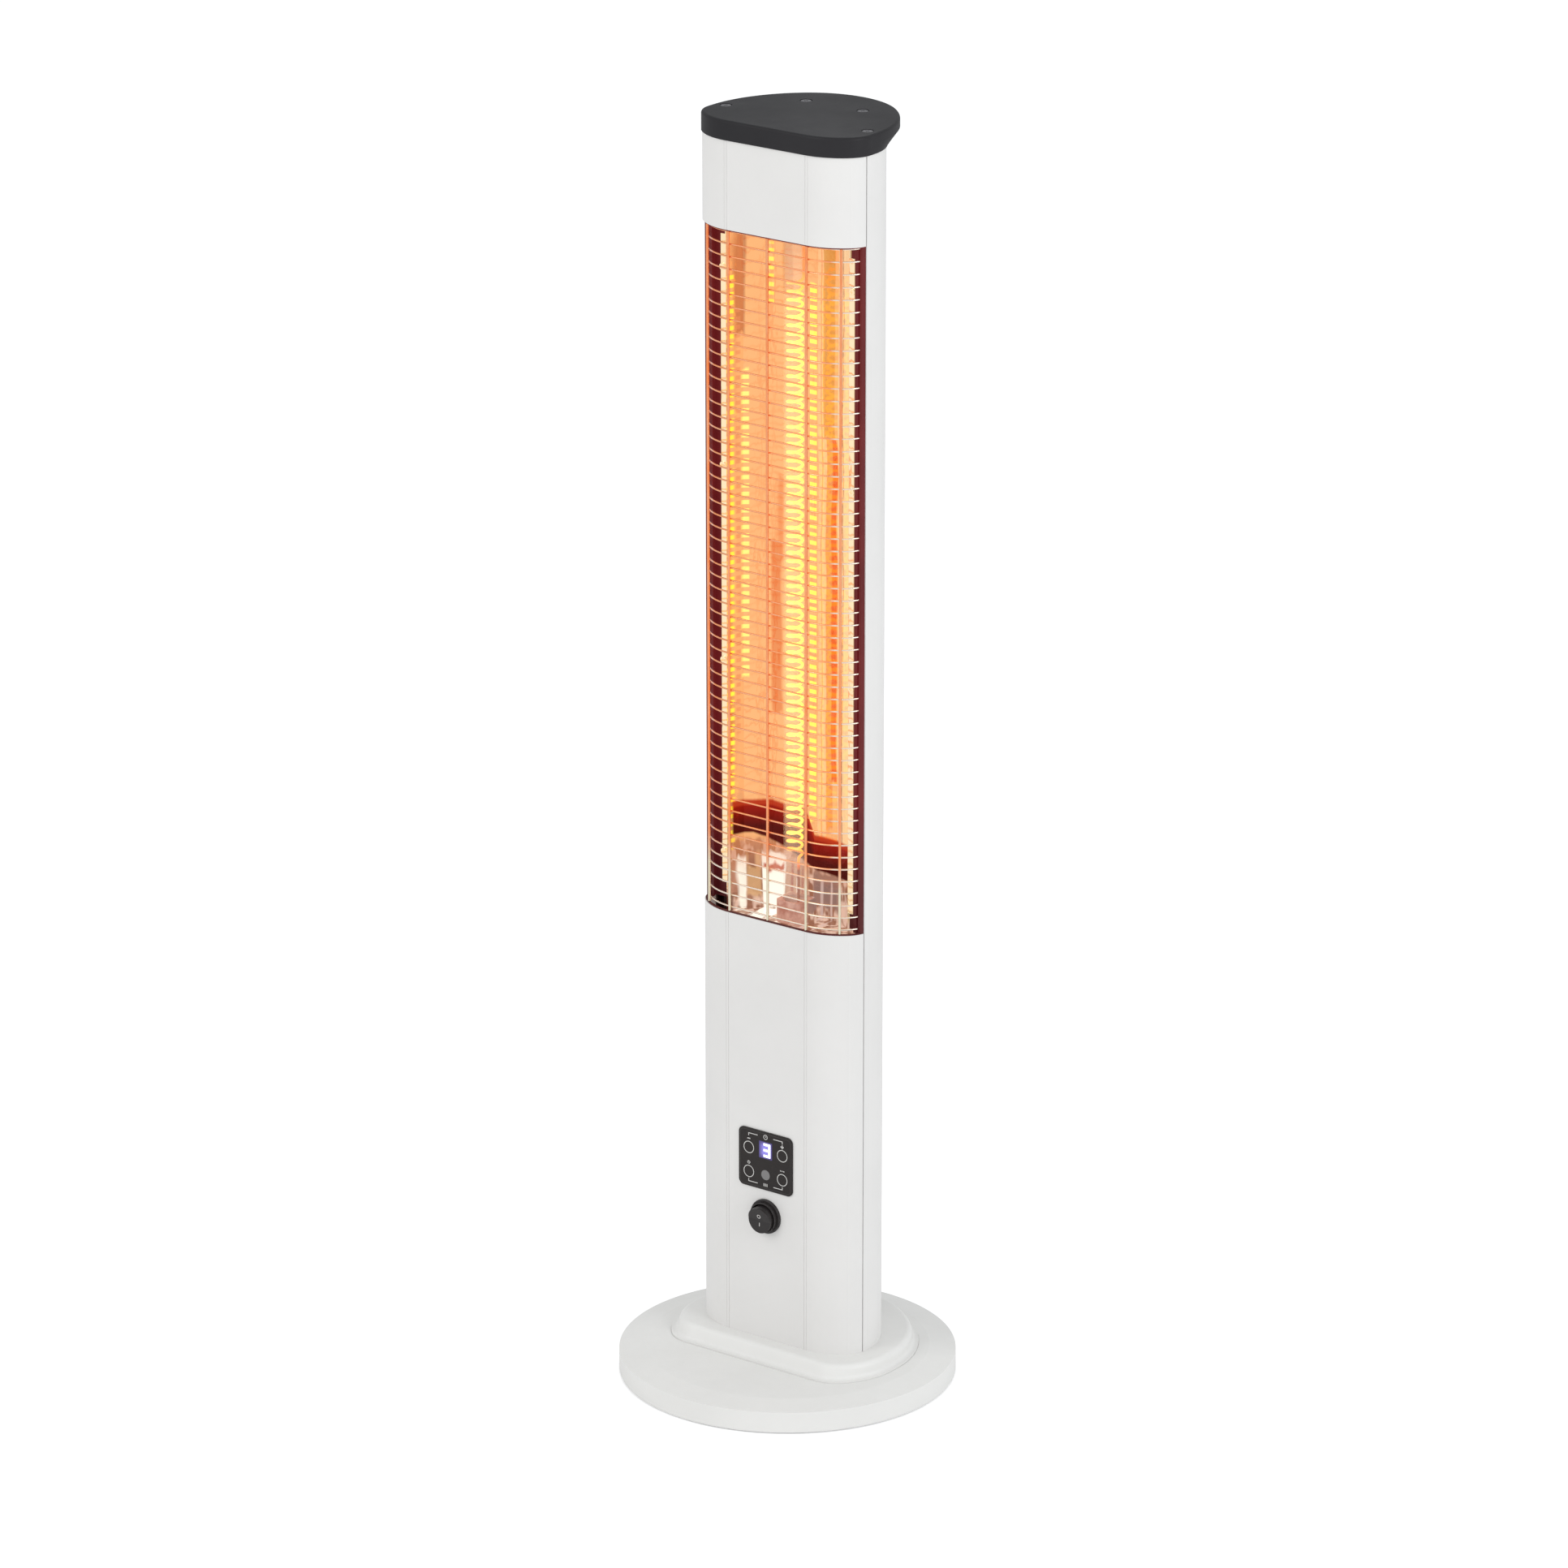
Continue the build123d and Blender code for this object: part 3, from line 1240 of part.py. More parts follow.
# ------------------------------------------------------------------------- cable gland
gland_z = collar_top_z + gland_height
gland_seat_y = tower_form.back_y + gland_seat_gap
gland_plane = Plane((0, gland_inner_y, gland_z), x_dir=(1, 0, 0), z_dir=(0, 1, 0))
flange_low = gland_seat_y - gland_inner_y
with BuildPart() as cable_gland:
    with BuildSketch(gland_plane):
        Circle(gland_thread_radius)
    extrude(amount=flange_low)
    with BuildSketch(gland_plane.offset(flange_low)):
        RegularPolygon(gland_flange_radius, 6)
    extrude(amount=gland_flange_thickness)
    with BuildSketch(gland_plane.offset(flange_low + gland_flange_thickness)):
        Circle(gland_dome_radius)
    with BuildSketch(gland_plane.offset(flange_low + gland_flange_thickness + gland_dome_length)):
        Circle(gland_mouth_radius)
    loft()
    fillet(cable_gland.faces().sort_by(Axis.Y)[-1].edges(), gland_mouth_round)
    with BuildSketch(gland_plane):
        Circle(gland_bore_radius)
    extrude(amount=flange_low + gland_flange_thickness + gland_dome_length, mode=Mode.SUBTRACT)
save(cable_gland, "cable_gland")

nut_half_width = gland_nut_width / 2 / cos(pi / 6)
back_inner_radius = tower_form.back_r - skin
nut_seat_y = (tower_form.back_y - tower_form.back_r
              + sqrt(back_inner_radius**2 - nut_half_width**2) - gland_seat_gap)
with BuildPart() as gland_nut:
    with BuildSketch(gland_plane.offset(nut_seat_y - gland_nut_thickness - gland_inner_y)):
        RegularPolygon(gland_nut_width / 2, 6, major_radius=False)
        Circle(gland_thread_radius + nut_thread_gap, mode=Mode.SUBTRACT)
    extrude(amount=gland_nut_thickness)
save(gland_nut, "gland_nut")
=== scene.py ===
# %% [markdown]
# # A patio heater tower, dressed for its portrait
# The solid model of this heater arrives finished: every piece is in its place, in metres, and
# stays there. What is left to make is how it looks. This lesson sets up the camera, the light
# and the floor, builds the small printed marks that a solid model doesn't have, and then gives
# each piece the finish of the real one, from the powder coat of the column to the glowing coil.

# %% Load the finished model
import json
import math

import bmesh
import bpy
from mathutils import Matrix, Vector


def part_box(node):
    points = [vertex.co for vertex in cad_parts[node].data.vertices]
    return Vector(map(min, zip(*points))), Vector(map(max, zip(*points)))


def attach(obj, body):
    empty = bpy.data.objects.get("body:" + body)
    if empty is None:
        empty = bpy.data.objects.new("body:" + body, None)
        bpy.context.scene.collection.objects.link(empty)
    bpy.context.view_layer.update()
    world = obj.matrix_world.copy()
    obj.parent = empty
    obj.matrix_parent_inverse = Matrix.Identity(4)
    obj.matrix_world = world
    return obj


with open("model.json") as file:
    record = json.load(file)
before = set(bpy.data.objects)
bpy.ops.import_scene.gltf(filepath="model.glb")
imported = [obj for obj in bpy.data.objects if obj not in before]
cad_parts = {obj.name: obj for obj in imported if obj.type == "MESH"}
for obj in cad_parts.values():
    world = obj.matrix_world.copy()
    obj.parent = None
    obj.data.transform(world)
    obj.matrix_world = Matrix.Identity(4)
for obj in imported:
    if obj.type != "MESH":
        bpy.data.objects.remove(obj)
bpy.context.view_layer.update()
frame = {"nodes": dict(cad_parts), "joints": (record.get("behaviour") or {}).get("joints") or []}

nodes = frame["nodes"]

# %% [markdown]
# ## Camera
# The heater is seen from the right of its front and from above its own height, with a long
# lens, which keeps the sides of a tall object almost parallel. The camera could be turned by
# hand until it looks right; here it stands at a measured point and is aimed at another, so that
# it can be moved by changing one number.

# %% Camera
camera_stands = Vector((3.5386, -4.6841, 2.5274))
camera_aims = Vector((-0.0036, 0.0, 0.51215))
camera = bpy.data.objects.new("portrait_camera", bpy.data.cameras.new("portrait_camera"))
bpy.context.scene.collection.objects.link(camera)
camera.location = camera_stands
camera.rotation_euler = (camera_aims - camera_stands).to_track_quat("-Z", "Y").to_euler()
camera.data.sensor_width = 36.0        # millimetres
camera.data.lens = 175.66              # millimetres
camera.data.clip_end = 60.0
bpy.context.scene.camera = camera
bpy.context.scene.view_settings.view_transform = "Standard"
print("camera", round((camera_aims - camera_stands).length, 2), "m away")

# %% [markdown]
# ## Light
# A pale product on white needs broad, soft light, or its faces either vanish into the background
# or turn grey. The world gives an even level from every side. A large soft lamp to the left of
# the camera models the front, and a weaker one on the right keeps the flank from going flat. The
# world looks white to the camera, but its light on the object stays at a plain level.

# %% World
world = bpy.data.worlds.new("studio")
bpy.context.scene.world = world
world.use_nodes = True
sky = world.node_tree
sky.nodes.clear()
light_path = sky.nodes.new("ShaderNodeLightPath")
seen = sky.nodes.new("ShaderNodeBackground")
seen.inputs["Color"].default_value = (1.0, 1.0, 1.0, 1.0)
seen.inputs["Strength"].default_value = 1.0
lighting = sky.nodes.new("ShaderNodeBackground")
lighting.inputs["Color"].default_value = (0.97, 0.985, 1.0, 1.0)
lighting.inputs["Strength"].default_value = 0.77
choose = sky.nodes.new("ShaderNodeMixShader")
sky_out = sky.nodes.new("ShaderNodeOutputWorld")
sky.links.new(light_path.outputs["Is Camera Ray"], choose.inputs[0])
sky.links.new(lighting.outputs[0], choose.inputs[1])
sky.links.new(seen.outputs[0], choose.inputs[2])
sky.links.new(choose.outputs[0], sky_out.inputs["Surface"])
print("world light", lighting.inputs["Strength"].default_value)


# %% Lamps
def soft_lamp(name, place, aim, size, power, colour):
    """A square softbox that looks at a point."""
    lamp = bpy.data.lights.new(name, "AREA")
    lamp.shape = "SQUARE"
    lamp.size = size
    lamp.energy = power
    lamp.color = colour
    holder = bpy.data.objects.new(name, lamp)
    holder.location = place
    holder.rotation_euler = (Vector(aim) - Vector(place)).to_track_quat("-Z", "Y").to_euler()
    bpy.context.scene.collection.objects.link(holder)
    print(name, power, "W")


soft_lamp("key_softbox", (-1.2, -3.4, 2.6), (0, 0, 0.5), 1.8, 36.0, (1.0, 0.985, 0.96))
soft_lamp("flank_softbox", (3.6, -0.4, 2.0), (0, 0, 0.55), 1.6, 42.0, (0.97, 0.985, 1.0))

# %% [markdown]
# ## Floor
# The floor only has to carry the shadow. It is a white diffuse sheet; to the camera it adds a
# little light of its own, so that it reaches paper white where nothing shades it, and the soft
# shadow round the base still shows.

# %% Floor
floor_reach = 14.0             # metres, from the middle of the floor to each side
floor_mesh = bpy.data.meshes.new("studio_floor")
floor_shape = bmesh.new()
bmesh.ops.create_grid(floor_shape, x_segments=1, y_segments=1, size=floor_reach)
floor_shape.to_mesh(floor_mesh)
floor_shape.free()
studio_floor = bpy.data.objects.new("studio_floor", floor_mesh)
bpy.context.scene.collection.objects.link(studio_floor)

paper = bpy.data.materials.new("white_paper")
paper.use_nodes = True
paper_tree = paper.node_tree
paper_shader = paper_tree.nodes["Principled BSDF"]
paper_shader.inputs["Base Color"].default_value = (0.93, 0.93, 0.93, 1.0)
paper_shader.inputs["Roughness"].default_value = 0.9
paper_shader.inputs["Specular IOR Level"].default_value = 0.0
paper_glow = paper_tree.nodes.new("ShaderNodeEmission")
paper_glow.inputs["Strength"].default_value = 0.32
paper_sum = paper_tree.nodes.new("ShaderNodeAddShader")
paper_pick = paper_tree.nodes.new("ShaderNodeMixShader")
paper_path = paper_tree.nodes.new("ShaderNodeLightPath")
paper_out = paper_tree.nodes["Material Output"]
paper_tree.links.new(paper_shader.outputs[0], paper_sum.inputs[0])
paper_tree.links.new(paper_glow.outputs[0], paper_sum.inputs[1])
paper_tree.links.new(paper_path.outputs["Is Camera Ray"], paper_pick.inputs[0])
paper_tree.links.new(paper_shader.outputs[0], paper_pick.inputs[1])
paper_tree.links.new(paper_sum.outputs[0], paper_pick.inputs[2])
paper_tree.links.new(paper_pick.outputs[0], paper_out.inputs["Surface"])
floor_mesh.materials.append(paper)
print("floor", 2 * floor_reach, "m square")

# %% [markdown]
# ## Effects that several finishes share
# Powder coat, moulded plastic and sheet metal all have a fine grain and a slow unevenness. That
# is worth building once. A node group has named inputs and outputs, so each material can place
# it with its own numbers. These groups only put out values, colours and normals; the shader
# itself stays in the material, where its plain settings can be read.


# %% A helper for groups
def effect_group(name, inputs, outputs):
    """An empty node group with float inputs and the outputs asked for."""
    group = bpy.data.node_groups.new(name, "ShaderNodeTree")
    for label, value in inputs.items():
        socket = group.interface.new_socket(label, in_out="INPUT", socket_type="NodeSocketFloat")
        socket.default_value = value
    for label, kind in outputs.items():
        group.interface.new_socket(label, in_out="OUTPUT", socket_type=kind)
    taken = group.nodes.new("NodeGroupInput")
    given = group.nodes.new("NodeGroupOutput")
    return group, taken, given


def math_node(tree, operation, first, second, clamp=False):
    """A math node whose inputs are sockets or numbers."""
    node = tree.nodes.new("ShaderNodeMath")
    node.operation = operation
    node.use_clamp = clamp
    for place, value in zip(node.inputs, (first, second)):
        if isinstance(value, bpy.types.NodeSocket):
            tree.links.new(value, place)
        else:
            place.default_value = value
    return node.outputs[0]


def range_node(tree, value, low, high, to_low, to_high):
    """Maps a value from one range to another, clamped."""
    node = tree.nodes.new("ShaderNodeMapRange")
    tree.links.new(value, node.inputs["Value"])
    for label, number in (("From Min", low), ("From Max", high),
                          ("To Min", to_low), ("To Max", to_high)):
        node.inputs[label].default_value = number
    return node.outputs["Result"]


# %% Surface grain
# Two noises on object coordinates: a fine one becomes a bump, a slow one is handed on as a
# value between 0 and 1 that a material can mix colours or roughness by.
grain_group, grain_in, grain_out = effect_group(
    "surface_grain",
    {"Grain Scale": 900.0, "Grain Depth": 0.00003, "Mottle Scale": 9.0},
    {"Normal": "NodeSocketVector", "Mottle": "NodeSocketFloat"})
place_on_piece = grain_group.nodes.new("ShaderNodeTexCoord")
fine = grain_group.nodes.new("ShaderNodeTexNoise")
fine.inputs["Detail"].default_value = 3.0
fine.inputs["Roughness"].default_value = 0.6
slow = grain_group.nodes.new("ShaderNodeTexNoise")
slow.inputs["Detail"].default_value = 5.0
slow.inputs["Roughness"].default_value = 0.62
grain_bump = grain_group.nodes.new("ShaderNodeBump")
grain_bump.inputs["Strength"].default_value = 1.0
for noise, label in ((fine, "Grain Scale"), (slow, "Mottle Scale")):
    grain_group.links.new(place_on_piece.outputs["Object"], noise.inputs["Vector"])
    grain_group.links.new(grain_in.outputs[label], noise.inputs["Scale"])
grain_group.links.new(fine.outputs["Fac"], grain_bump.inputs["Height"])
grain_group.links.new(grain_in.outputs["Grain Depth"], grain_bump.inputs["Distance"])
grain_group.links.new(grain_bump.outputs["Normal"], grain_out.inputs["Normal"])
grain_group.links.new(range_node(grain_group, slow.outputs["Fac"], 0.32, 0.68, 0.0, 1.0),
                      grain_out.inputs["Mottle"])
print("group", grain_group.name)

# %% Worn and highlit edges
# Corners are touched first, and they catch the light first. The Bevel node rounds the shading
# normal near an edge, and where that differs from the true normal there is an edge; broken up by
# noise, it is a mask for wear and for a painted edge highlight.
edge_group, edge_in, edge_out = effect_group(
    "worn_and_highlit_edges", {"Width": 0.0012, "Amount": 0.5}, {"Mask": "NodeSocketFloat"})
rounded = edge_group.nodes.new("ShaderNodeBevel")
rounded.samples = 4
edge_group.links.new(edge_in.outputs["Width"], rounded.inputs["Radius"])
true_normal = edge_group.nodes.new("ShaderNodeNewGeometry")
agree = edge_group.nodes.new("ShaderNodeVectorMath")
agree.operation = "DOT_PRODUCT"
edge_group.links.new(rounded.outputs[0], agree.inputs[0])
edge_group.links.new(true_normal.outputs["Normal"], agree.inputs[1])
edge_place = edge_group.nodes.new("ShaderNodeTexCoord")
edge_noise = edge_group.nodes.new("ShaderNodeTexNoise")
edge_noise.inputs["Scale"].default_value = 120.0
edge_noise.inputs["Detail"].default_value = 4.0
edge_group.links.new(edge_place.outputs["Object"], edge_noise.inputs["Vector"])
near_edge = range_node(edge_group, agree.outputs["Value"], 0.995, 0.80, 0.0, 1.0)
broken = range_node(edge_group, edge_noise.outputs["Fac"], 0.40, 0.62, 0.15, 1.0)
edge_wear_and_highlight_mask = math_node(edge_group, "MULTIPLY", near_edge, broken)
edge_group.links.new(math_node(edge_group, "MULTIPLY", edge_wear_and_highlight_mask, edge_in.outputs["Amount"], True),
                     edge_out.inputs["Mask"])
print("group", edge_group.name)

# %% Settled dust
# Dust lies on what faces up. The true normal's height picks those surfaces, and noise makes
# the layer uneven.
dust_group, dust_in, dust_out = effect_group(
    "settled_dust", {"Scale": 60.0, "Amount": 0.3}, {"Mask": "NodeSocketFloat"})
facing = dust_group.nodes.new("ShaderNodeNewGeometry")
facing_parts = dust_group.nodes.new("ShaderNodeSeparateXYZ")
dust_group.links.new(facing.outputs["Normal"], facing_parts.inputs[0])
dust_place = dust_group.nodes.new("ShaderNodeTexCoord")
dust_noise = dust_group.nodes.new("ShaderNodeTexNoise")
dust_noise.inputs["Detail"].default_value = 6.0
dust_noise.inputs["Roughness"].default_value = 0.7
dust_group.links.new(dust_place.outputs["Object"], dust_noise.inputs["Vector"])
dust_group.links.new(dust_in.outputs["Scale"], dust_noise.inputs["Scale"])
upward = range_node(dust_group, facing_parts.outputs["Z"], 0.55, 1.0, 0.0, 1.0)
patchy = range_node(dust_group, dust_noise.outputs["Fac"], 0.35, 0.75, 0.2, 1.0)
lying = math_node(dust_group, "MULTIPLY", upward, patchy)
dust_group.links.new(math_node(dust_group, "MULTIPLY", lying, dust_in.outputs["Amount"], True),
                     dust_out.inputs["Mask"])
print("group", dust_group.name)

# %% [markdown]
# ## Finishes
# A finish is one material. Each starts from the same helper, which makes the Principled shader
# and sets its plain numbers on its own sockets, then places the shared groups with its own
# values, and links only what changes over the surface.


# %% Helpers for finishes
def new_finish(name, **plain):
    """A material and its tree and shader, with plain numbers on the shader's sockets."""
    material = bpy.data.materials.new(name)
    material.use_nodes = True
    tree = material.node_tree
    shader = tree.nodes["Principled BSDF"]
    for label, value in plain.items():
        shader.inputs[label.replace("_", " ")].default_value = value
    return material, tree, shader


def place_group(tree, group, **values):
    """One use of a shared group, with its own numbers."""
    node = tree.nodes.new("ShaderNodeGroup")
    node.node_tree = group
    for label, value in values.items():
        node.inputs[label.replace("_", " ")].default_value = value
    return node


def mix_colours(tree, by, first, second):
    """Mixes two colours, each a socket or a colour, by a value."""
    node = tree.nodes.new("ShaderNodeMix")
    node.data_type = "RGBA"
    tree.links.new(by, node.inputs["Factor"])
    for place, colour in ((node.inputs[6], first), (node.inputs[7], second)):
        if isinstance(colour, bpy.types.NodeSocket):
            tree.links.new(colour, place)
        else:
            place.default_value = (*colour, 1.0)
    return node.outputs[2]


def vary(tree, socket, by, first, second):
    """Lets a socket vary by a value, between two numbers or between two colours."""
    if isinstance(first, float):
        mixed = range_node(tree, by, 0.0, 1.0, first, second)
    else:
        mixed = mix_colours(tree, by, first, second)
    tree.links.new(mixed, socket)


def along(tree, axis):
    """The object coordinate along one axis, in metres."""
    coordinate = tree.nodes.new("ShaderNodeTexCoord")
    parts = tree.nodes.new("ShaderNodeSeparateXYZ")
    tree.links.new(coordinate.outputs["Object"], parts.inputs[0])
    return parts.outputs[axis]


def off_middle(tree, value, middle=0.0):
    """How far a value lies from a middle, to either side."""
    return math_node(tree, "ABSOLUTE", math_node(tree, "SUBTRACT", value, middle), 0.0)


def stretched_noise(tree, stretch, detail):
    """Noise on object coordinates, longer along the axes with the smaller numbers."""
    coordinate = tree.nodes.new("ShaderNodeTexCoord")
    squeeze = tree.nodes.new("ShaderNodeMapping")
    squeeze.inputs["Scale"].default_value = stretch
    tree.links.new(coordinate.outputs["Object"], squeeze.inputs["Vector"])
    noise = tree.nodes.new("ShaderNodeTexNoise")
    noise.inputs["Scale"].default_value = 1.0
    noise.inputs["Detail"].default_value = detail
    tree.links.new(squeeze.outputs[0], noise.inputs["Vector"])
    return noise.outputs["Fac"]


def add_bump(tree, shader, height, depth):
    """Lays one more bump over whatever already bends the shader's normal."""
    bump = tree.nodes.new("ShaderNodeBump")
    bump.inputs["Distance"].default_value = depth
    tree.links.new(height, bump.inputs["Height"])
    for link in shader.inputs["Normal"].links:
        tree.links.new(link.from_socket, bump.inputs["Normal"])
    tree.links.new(bump.outputs["Normal"], shader.inputs["Normal"])


def grained(name, grain_scale, grain_depth, mottle_scale, **plain):
    """A finish with the shared grain as its normal, and the slow mottling to mix by."""
    material, tree, shader = new_finish(name, **plain)
    grain = place_group(tree, grain_group, Grain_Scale=grain_scale, Grain_Depth=grain_depth,
                        Mottle_Scale=mottle_scale)
    tree.links.new(grain.outputs["Normal"], shader.inputs["Normal"])
    return material, tree, shader, grain.outputs["Mottle"]


def coated(name, colour, shade, edge_wear_and_highlight_colour, roughness, grain_scale, grain_depth,
           mottle_scale=7.0, edge=0.3, dust=0.2, dust_colour=(0.70, 0.68, 0.64), **plain):
    """Powder coat or moulded plastic: grain, slow mottling, edges lightened by wear and a painted
    highlight, and dust.
    """
    material, tree, shader, mottle = grained(name, grain_scale, grain_depth, mottle_scale, **plain)
    edge_wear_and_highlight = place_group(tree, edge_group, Width=0.0010, Amount=edge)
    dusty = place_group(tree, dust_group, Scale=45.0, Amount=dust)
    body = mix_colours(tree, mottle, colour, shade)
    # Lighter edges: partly wear, partly a painted highlight.
    body = mix_colours(tree, edge_wear_and_highlight.outputs["Mask"], body, edge_wear_and_highlight_colour)
    vary(tree, shader.inputs["Base Color"], dusty.outputs["Mask"], body, dust_colour)
    rough = range_node(tree, mottle, 0.0, 1.0, roughness - 0.05, roughness + 0.06)
    dulled = math_node(tree, "MULTIPLY", dusty.outputs["Mask"], 0.3)
    tree.links.new(math_node(tree, "ADD", rough, dulled, True), shader.inputs["Roughness"])
    return material


# %% [markdown]
# ### Coats and plastics
# The column is aluminium with an off-white powder coat: satin, with a barely visible orange
# peel. The base and collar are moulded in the same white with a coarser spark-eroded grain.
# The cap, the panel and the switch are dark moulded plastic, each a little different.

# %% Coats and plastics
housing_coat, shell_coat = [
    coated(name, (0.775, 0.765, 0.75), (0.735, 0.725, 0.71), (0.80, 0.79, 0.77), 0.38, 1500.0,
           0.000012, edge=0.25, dust=0.10)
    for name in ("housing_powder_coat", "shell_powder_coat")]
base_plastic = coated("base_moulded_white", (0.80, 0.795, 0.775), (0.765, 0.76, 0.74),
                      (0.82, 0.81, 0.79), 0.50, 1100.0, 0.00003, edge=0.2, dust=0.22,
                      dust_colour=(0.66, 0.65, 0.62))
cap_plastic = coated("cap_moulded_charcoal", (0.021, 0.0200, 0.0225), (0.015, 0.0143, 0.0165),
                     (0.05, 0.05, 0.053), 0.55, 1300.0, 0.00005, edge=0.4, dust=0.06,
                     dust_colour=(0.08, 0.078, 0.08), Specular_IOR_Level=0.22)
panel_plastic = coated("panel_film_black", (0.0175, 0.0135, 0.0125), (0.012, 0.0092, 0.0085),
                       (0.05, 0.045, 0.04), 0.46, 2200.0, 0.00001, edge=0.3, dust=0.0,
                       Specular_IOR_Level=0.30)
frame_plastic = coated("panel_frame_black", (0.024, 0.019, 0.018), (0.017, 0.014, 0.013),
                       (0.07, 0.062, 0.058), 0.48, 1800.0, 0.00002, edge=0.4, dust=0.0,
                       Specular_IOR_Level=0.35)
switch_plastic = coated("switch_moulded_black", (0.022, 0.0185, 0.0185), (0.015, 0.0125, 0.0125),
                        (0.07, 0.062, 0.060), 0.34, 1900.0, 0.00001, edge=0.5, dust=0.0,
                        Specular_IOR_Level=0.35)
feet_rubber = coated("feet_rubber", (0.020, 0.020, 0.020), (0.030, 0.029, 0.028),
                     (0.05, 0.05, 0.05), 0.75, 900.0, 0.00004, edge=0.2, dust=0.3,
                     dust_colour=(0.14, 0.13, 0.12))
part_plastic = coated("component_plastic", (0.020, 0.021, 0.024), (0.030, 0.031, 0.034),
                      (0.05, 0.05, 0.055), 0.45, 1600.0, 0.00002, edge=0.2, dust=0.2)
cap_screw_black = coated("cap_screw_black", (0.100, 0.096, 0.106), (0.080, 0.077, 0.086),
                         (0.16, 0.16, 0.165), 0.42, 1500.0, 0.00001, edge=0.3, dust=0.05,
                         dust_colour=(0.14, 0.14, 0.14))
sleeve = coated("lead_sleeving", (0.60, 0.585, 0.53), (0.52, 0.50, 0.45),
                (0.65, 0.63, 0.58), 0.7, 2600.0, 0.00008, edge=0.0, dust=0.1)
# Ceramic ends: their reddish colour and their glow are painted lamp light.
ceramic = coated("lamp_ceramic", (0.72, 0.48, 0.39), (0.44, 0.19, 0.14),
                 (0.78, 0.60, 0.50), 0.55, 1400.0, 0.00003, mottle_scale=90.0, edge=0.5, dust=0.0,
                 Emission_Strength=0.30)

# The ceramic ends are reddish and glow a little in that colour: painted lamp light, which lifts
# them out of the shade below the cover.
ceramic_shader = ceramic.node_tree.nodes["Principled BSDF"]
ceramic_colour = ceramic_shader.inputs["Base Color"].links[0].from_socket
ceramic.node_tree.links.new(ceramic_colour, ceramic_shader.inputs["Emission Color"])
print("coats and plastics made")

# %% [markdown]
# ### Metals
# Sheet and wire are drawn or rolled, so their fine scratches run one way. A noise that is
# squeezed along one axis gives those lines, as a bump and as a change of roughness.


# %% Metals
def drawn_metal(name, colour, shade, roughness, stretch, line_depth=0.000006):
    """Bare metal with fine lines along the axis that stretch makes long."""
    material, tree, shader, mottle = grained(name, 1200.0, 0.000004, 14.0, Metallic=1.0)
    lines = stretched_noise(tree, stretch, 4.0)
    vary(tree, shader.inputs["Base Color"], mottle, colour, shade)
    rough = range_node(tree, lines, 0.3, 0.7, roughness - 0.07, roughness + 0.09)
    tree.links.new(rough, shader.inputs["Roughness"])
    add_bump(tree, shader, lines, line_depth)
    return material


zinc_sheet = drawn_metal("zinc_sheet", (0.55, 0.57, 0.59), (0.42, 0.44, 0.46), 0.38,
                         (40.0, 900.0, 900.0))
screw_metal = drawn_metal("screw_zinc", (0.50, 0.51, 0.53), (0.38, 0.39, 0.41), 0.32,
                          (900.0, 900.0, 300.0))
weight_iron = drawn_metal("raw_iron", (0.16, 0.155, 0.15), (0.10, 0.085, 0.075), 0.62,
                          (300.0, 300.0, 300.0), 0.00003)
contact_brass = drawn_metal("contact_brass", (0.62, 0.46, 0.20), (0.50, 0.36, 0.15), 0.34,
                            (900.0, 60.0, 900.0))
print("metals made")

# %% [markdown]
# ### Guard
# The wire guard is bright steel, but what it shows depends on what lies behind it: cream light
# from the studio where it crosses the dark rails and the cool foot of the window, orange from the
# lamp in between. Two colours of painted light, mixed by the place on the piece, carry that.


# %% Guard
def between(tree, value, low, high, soft):
    """A mask that is 1 from low to high, each a socket or a number, with soft ends."""
    above = range_node(tree, math_node(tree, "SUBTRACT", value, low), -soft, soft, 0.0, 1.0)
    below = range_node(tree, math_node(tree, "SUBTRACT", value, high), -soft, soft, 1.0, 0.0)
    return math_node(tree, "MULTIPLY", above, below, True)


window_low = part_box("left_side_rail")[0].z
window_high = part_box("left_side_rail")[1].z
coil_leads = (0.046, 0.040)    # straight lengths of wire below and above the coil
coil_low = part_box("heating_coil")[0].z + coil_leads[0]
coil_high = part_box("heating_coil")[1].z - coil_leads[1]


def guard_metal(name, cream, lamp_light, half_wide, roughness):
    """Drawn steel in painted light, cream at its ends and foot, orange with lamp light where it
    crosses the glow.
    """
    material, tree, shader, mottle = grained(name, 1500.0, 0.000004, 40.0, Metallic=0.85)
    before_lamp = between(tree, along(tree, "X"), -half_wide, half_wide, 0.002)
    before_glow = range_node(tree, along(tree, "Z"), coil_low - 0.012, coil_low + 0.016, 0.0, 1.0)
    # Painted lamp light: orange where the wire stands before the lit coil.
    lamp_lit = math_node(tree, "MULTIPLY", before_lamp, before_glow, True)
    lamp_lit = math_node(tree, "MULTIPLY", lamp_lit,
                       range_node(tree, mottle, 0.0, 1.0, 0.75, 1.0), True)
    vary(tree, shader.inputs["Base Color"], lamp_lit, cream, lamp_light)
    vary(tree, shader.inputs["Roughness"], mottle, roughness, roughness + 0.12)
    return material


guard_wire = guard_metal("guard_wire", (0.92, 0.80, 0.68), (0.93, 0.36, 0.14), 0.060, 0.22)
guard_upright = guard_metal("guard_upright", (0.82, 0.74, 0.56), (0.96, 0.31, 0.11), 0.090, 0.26)
print("window from", round(window_low, 4), "to", round(window_high, 4))
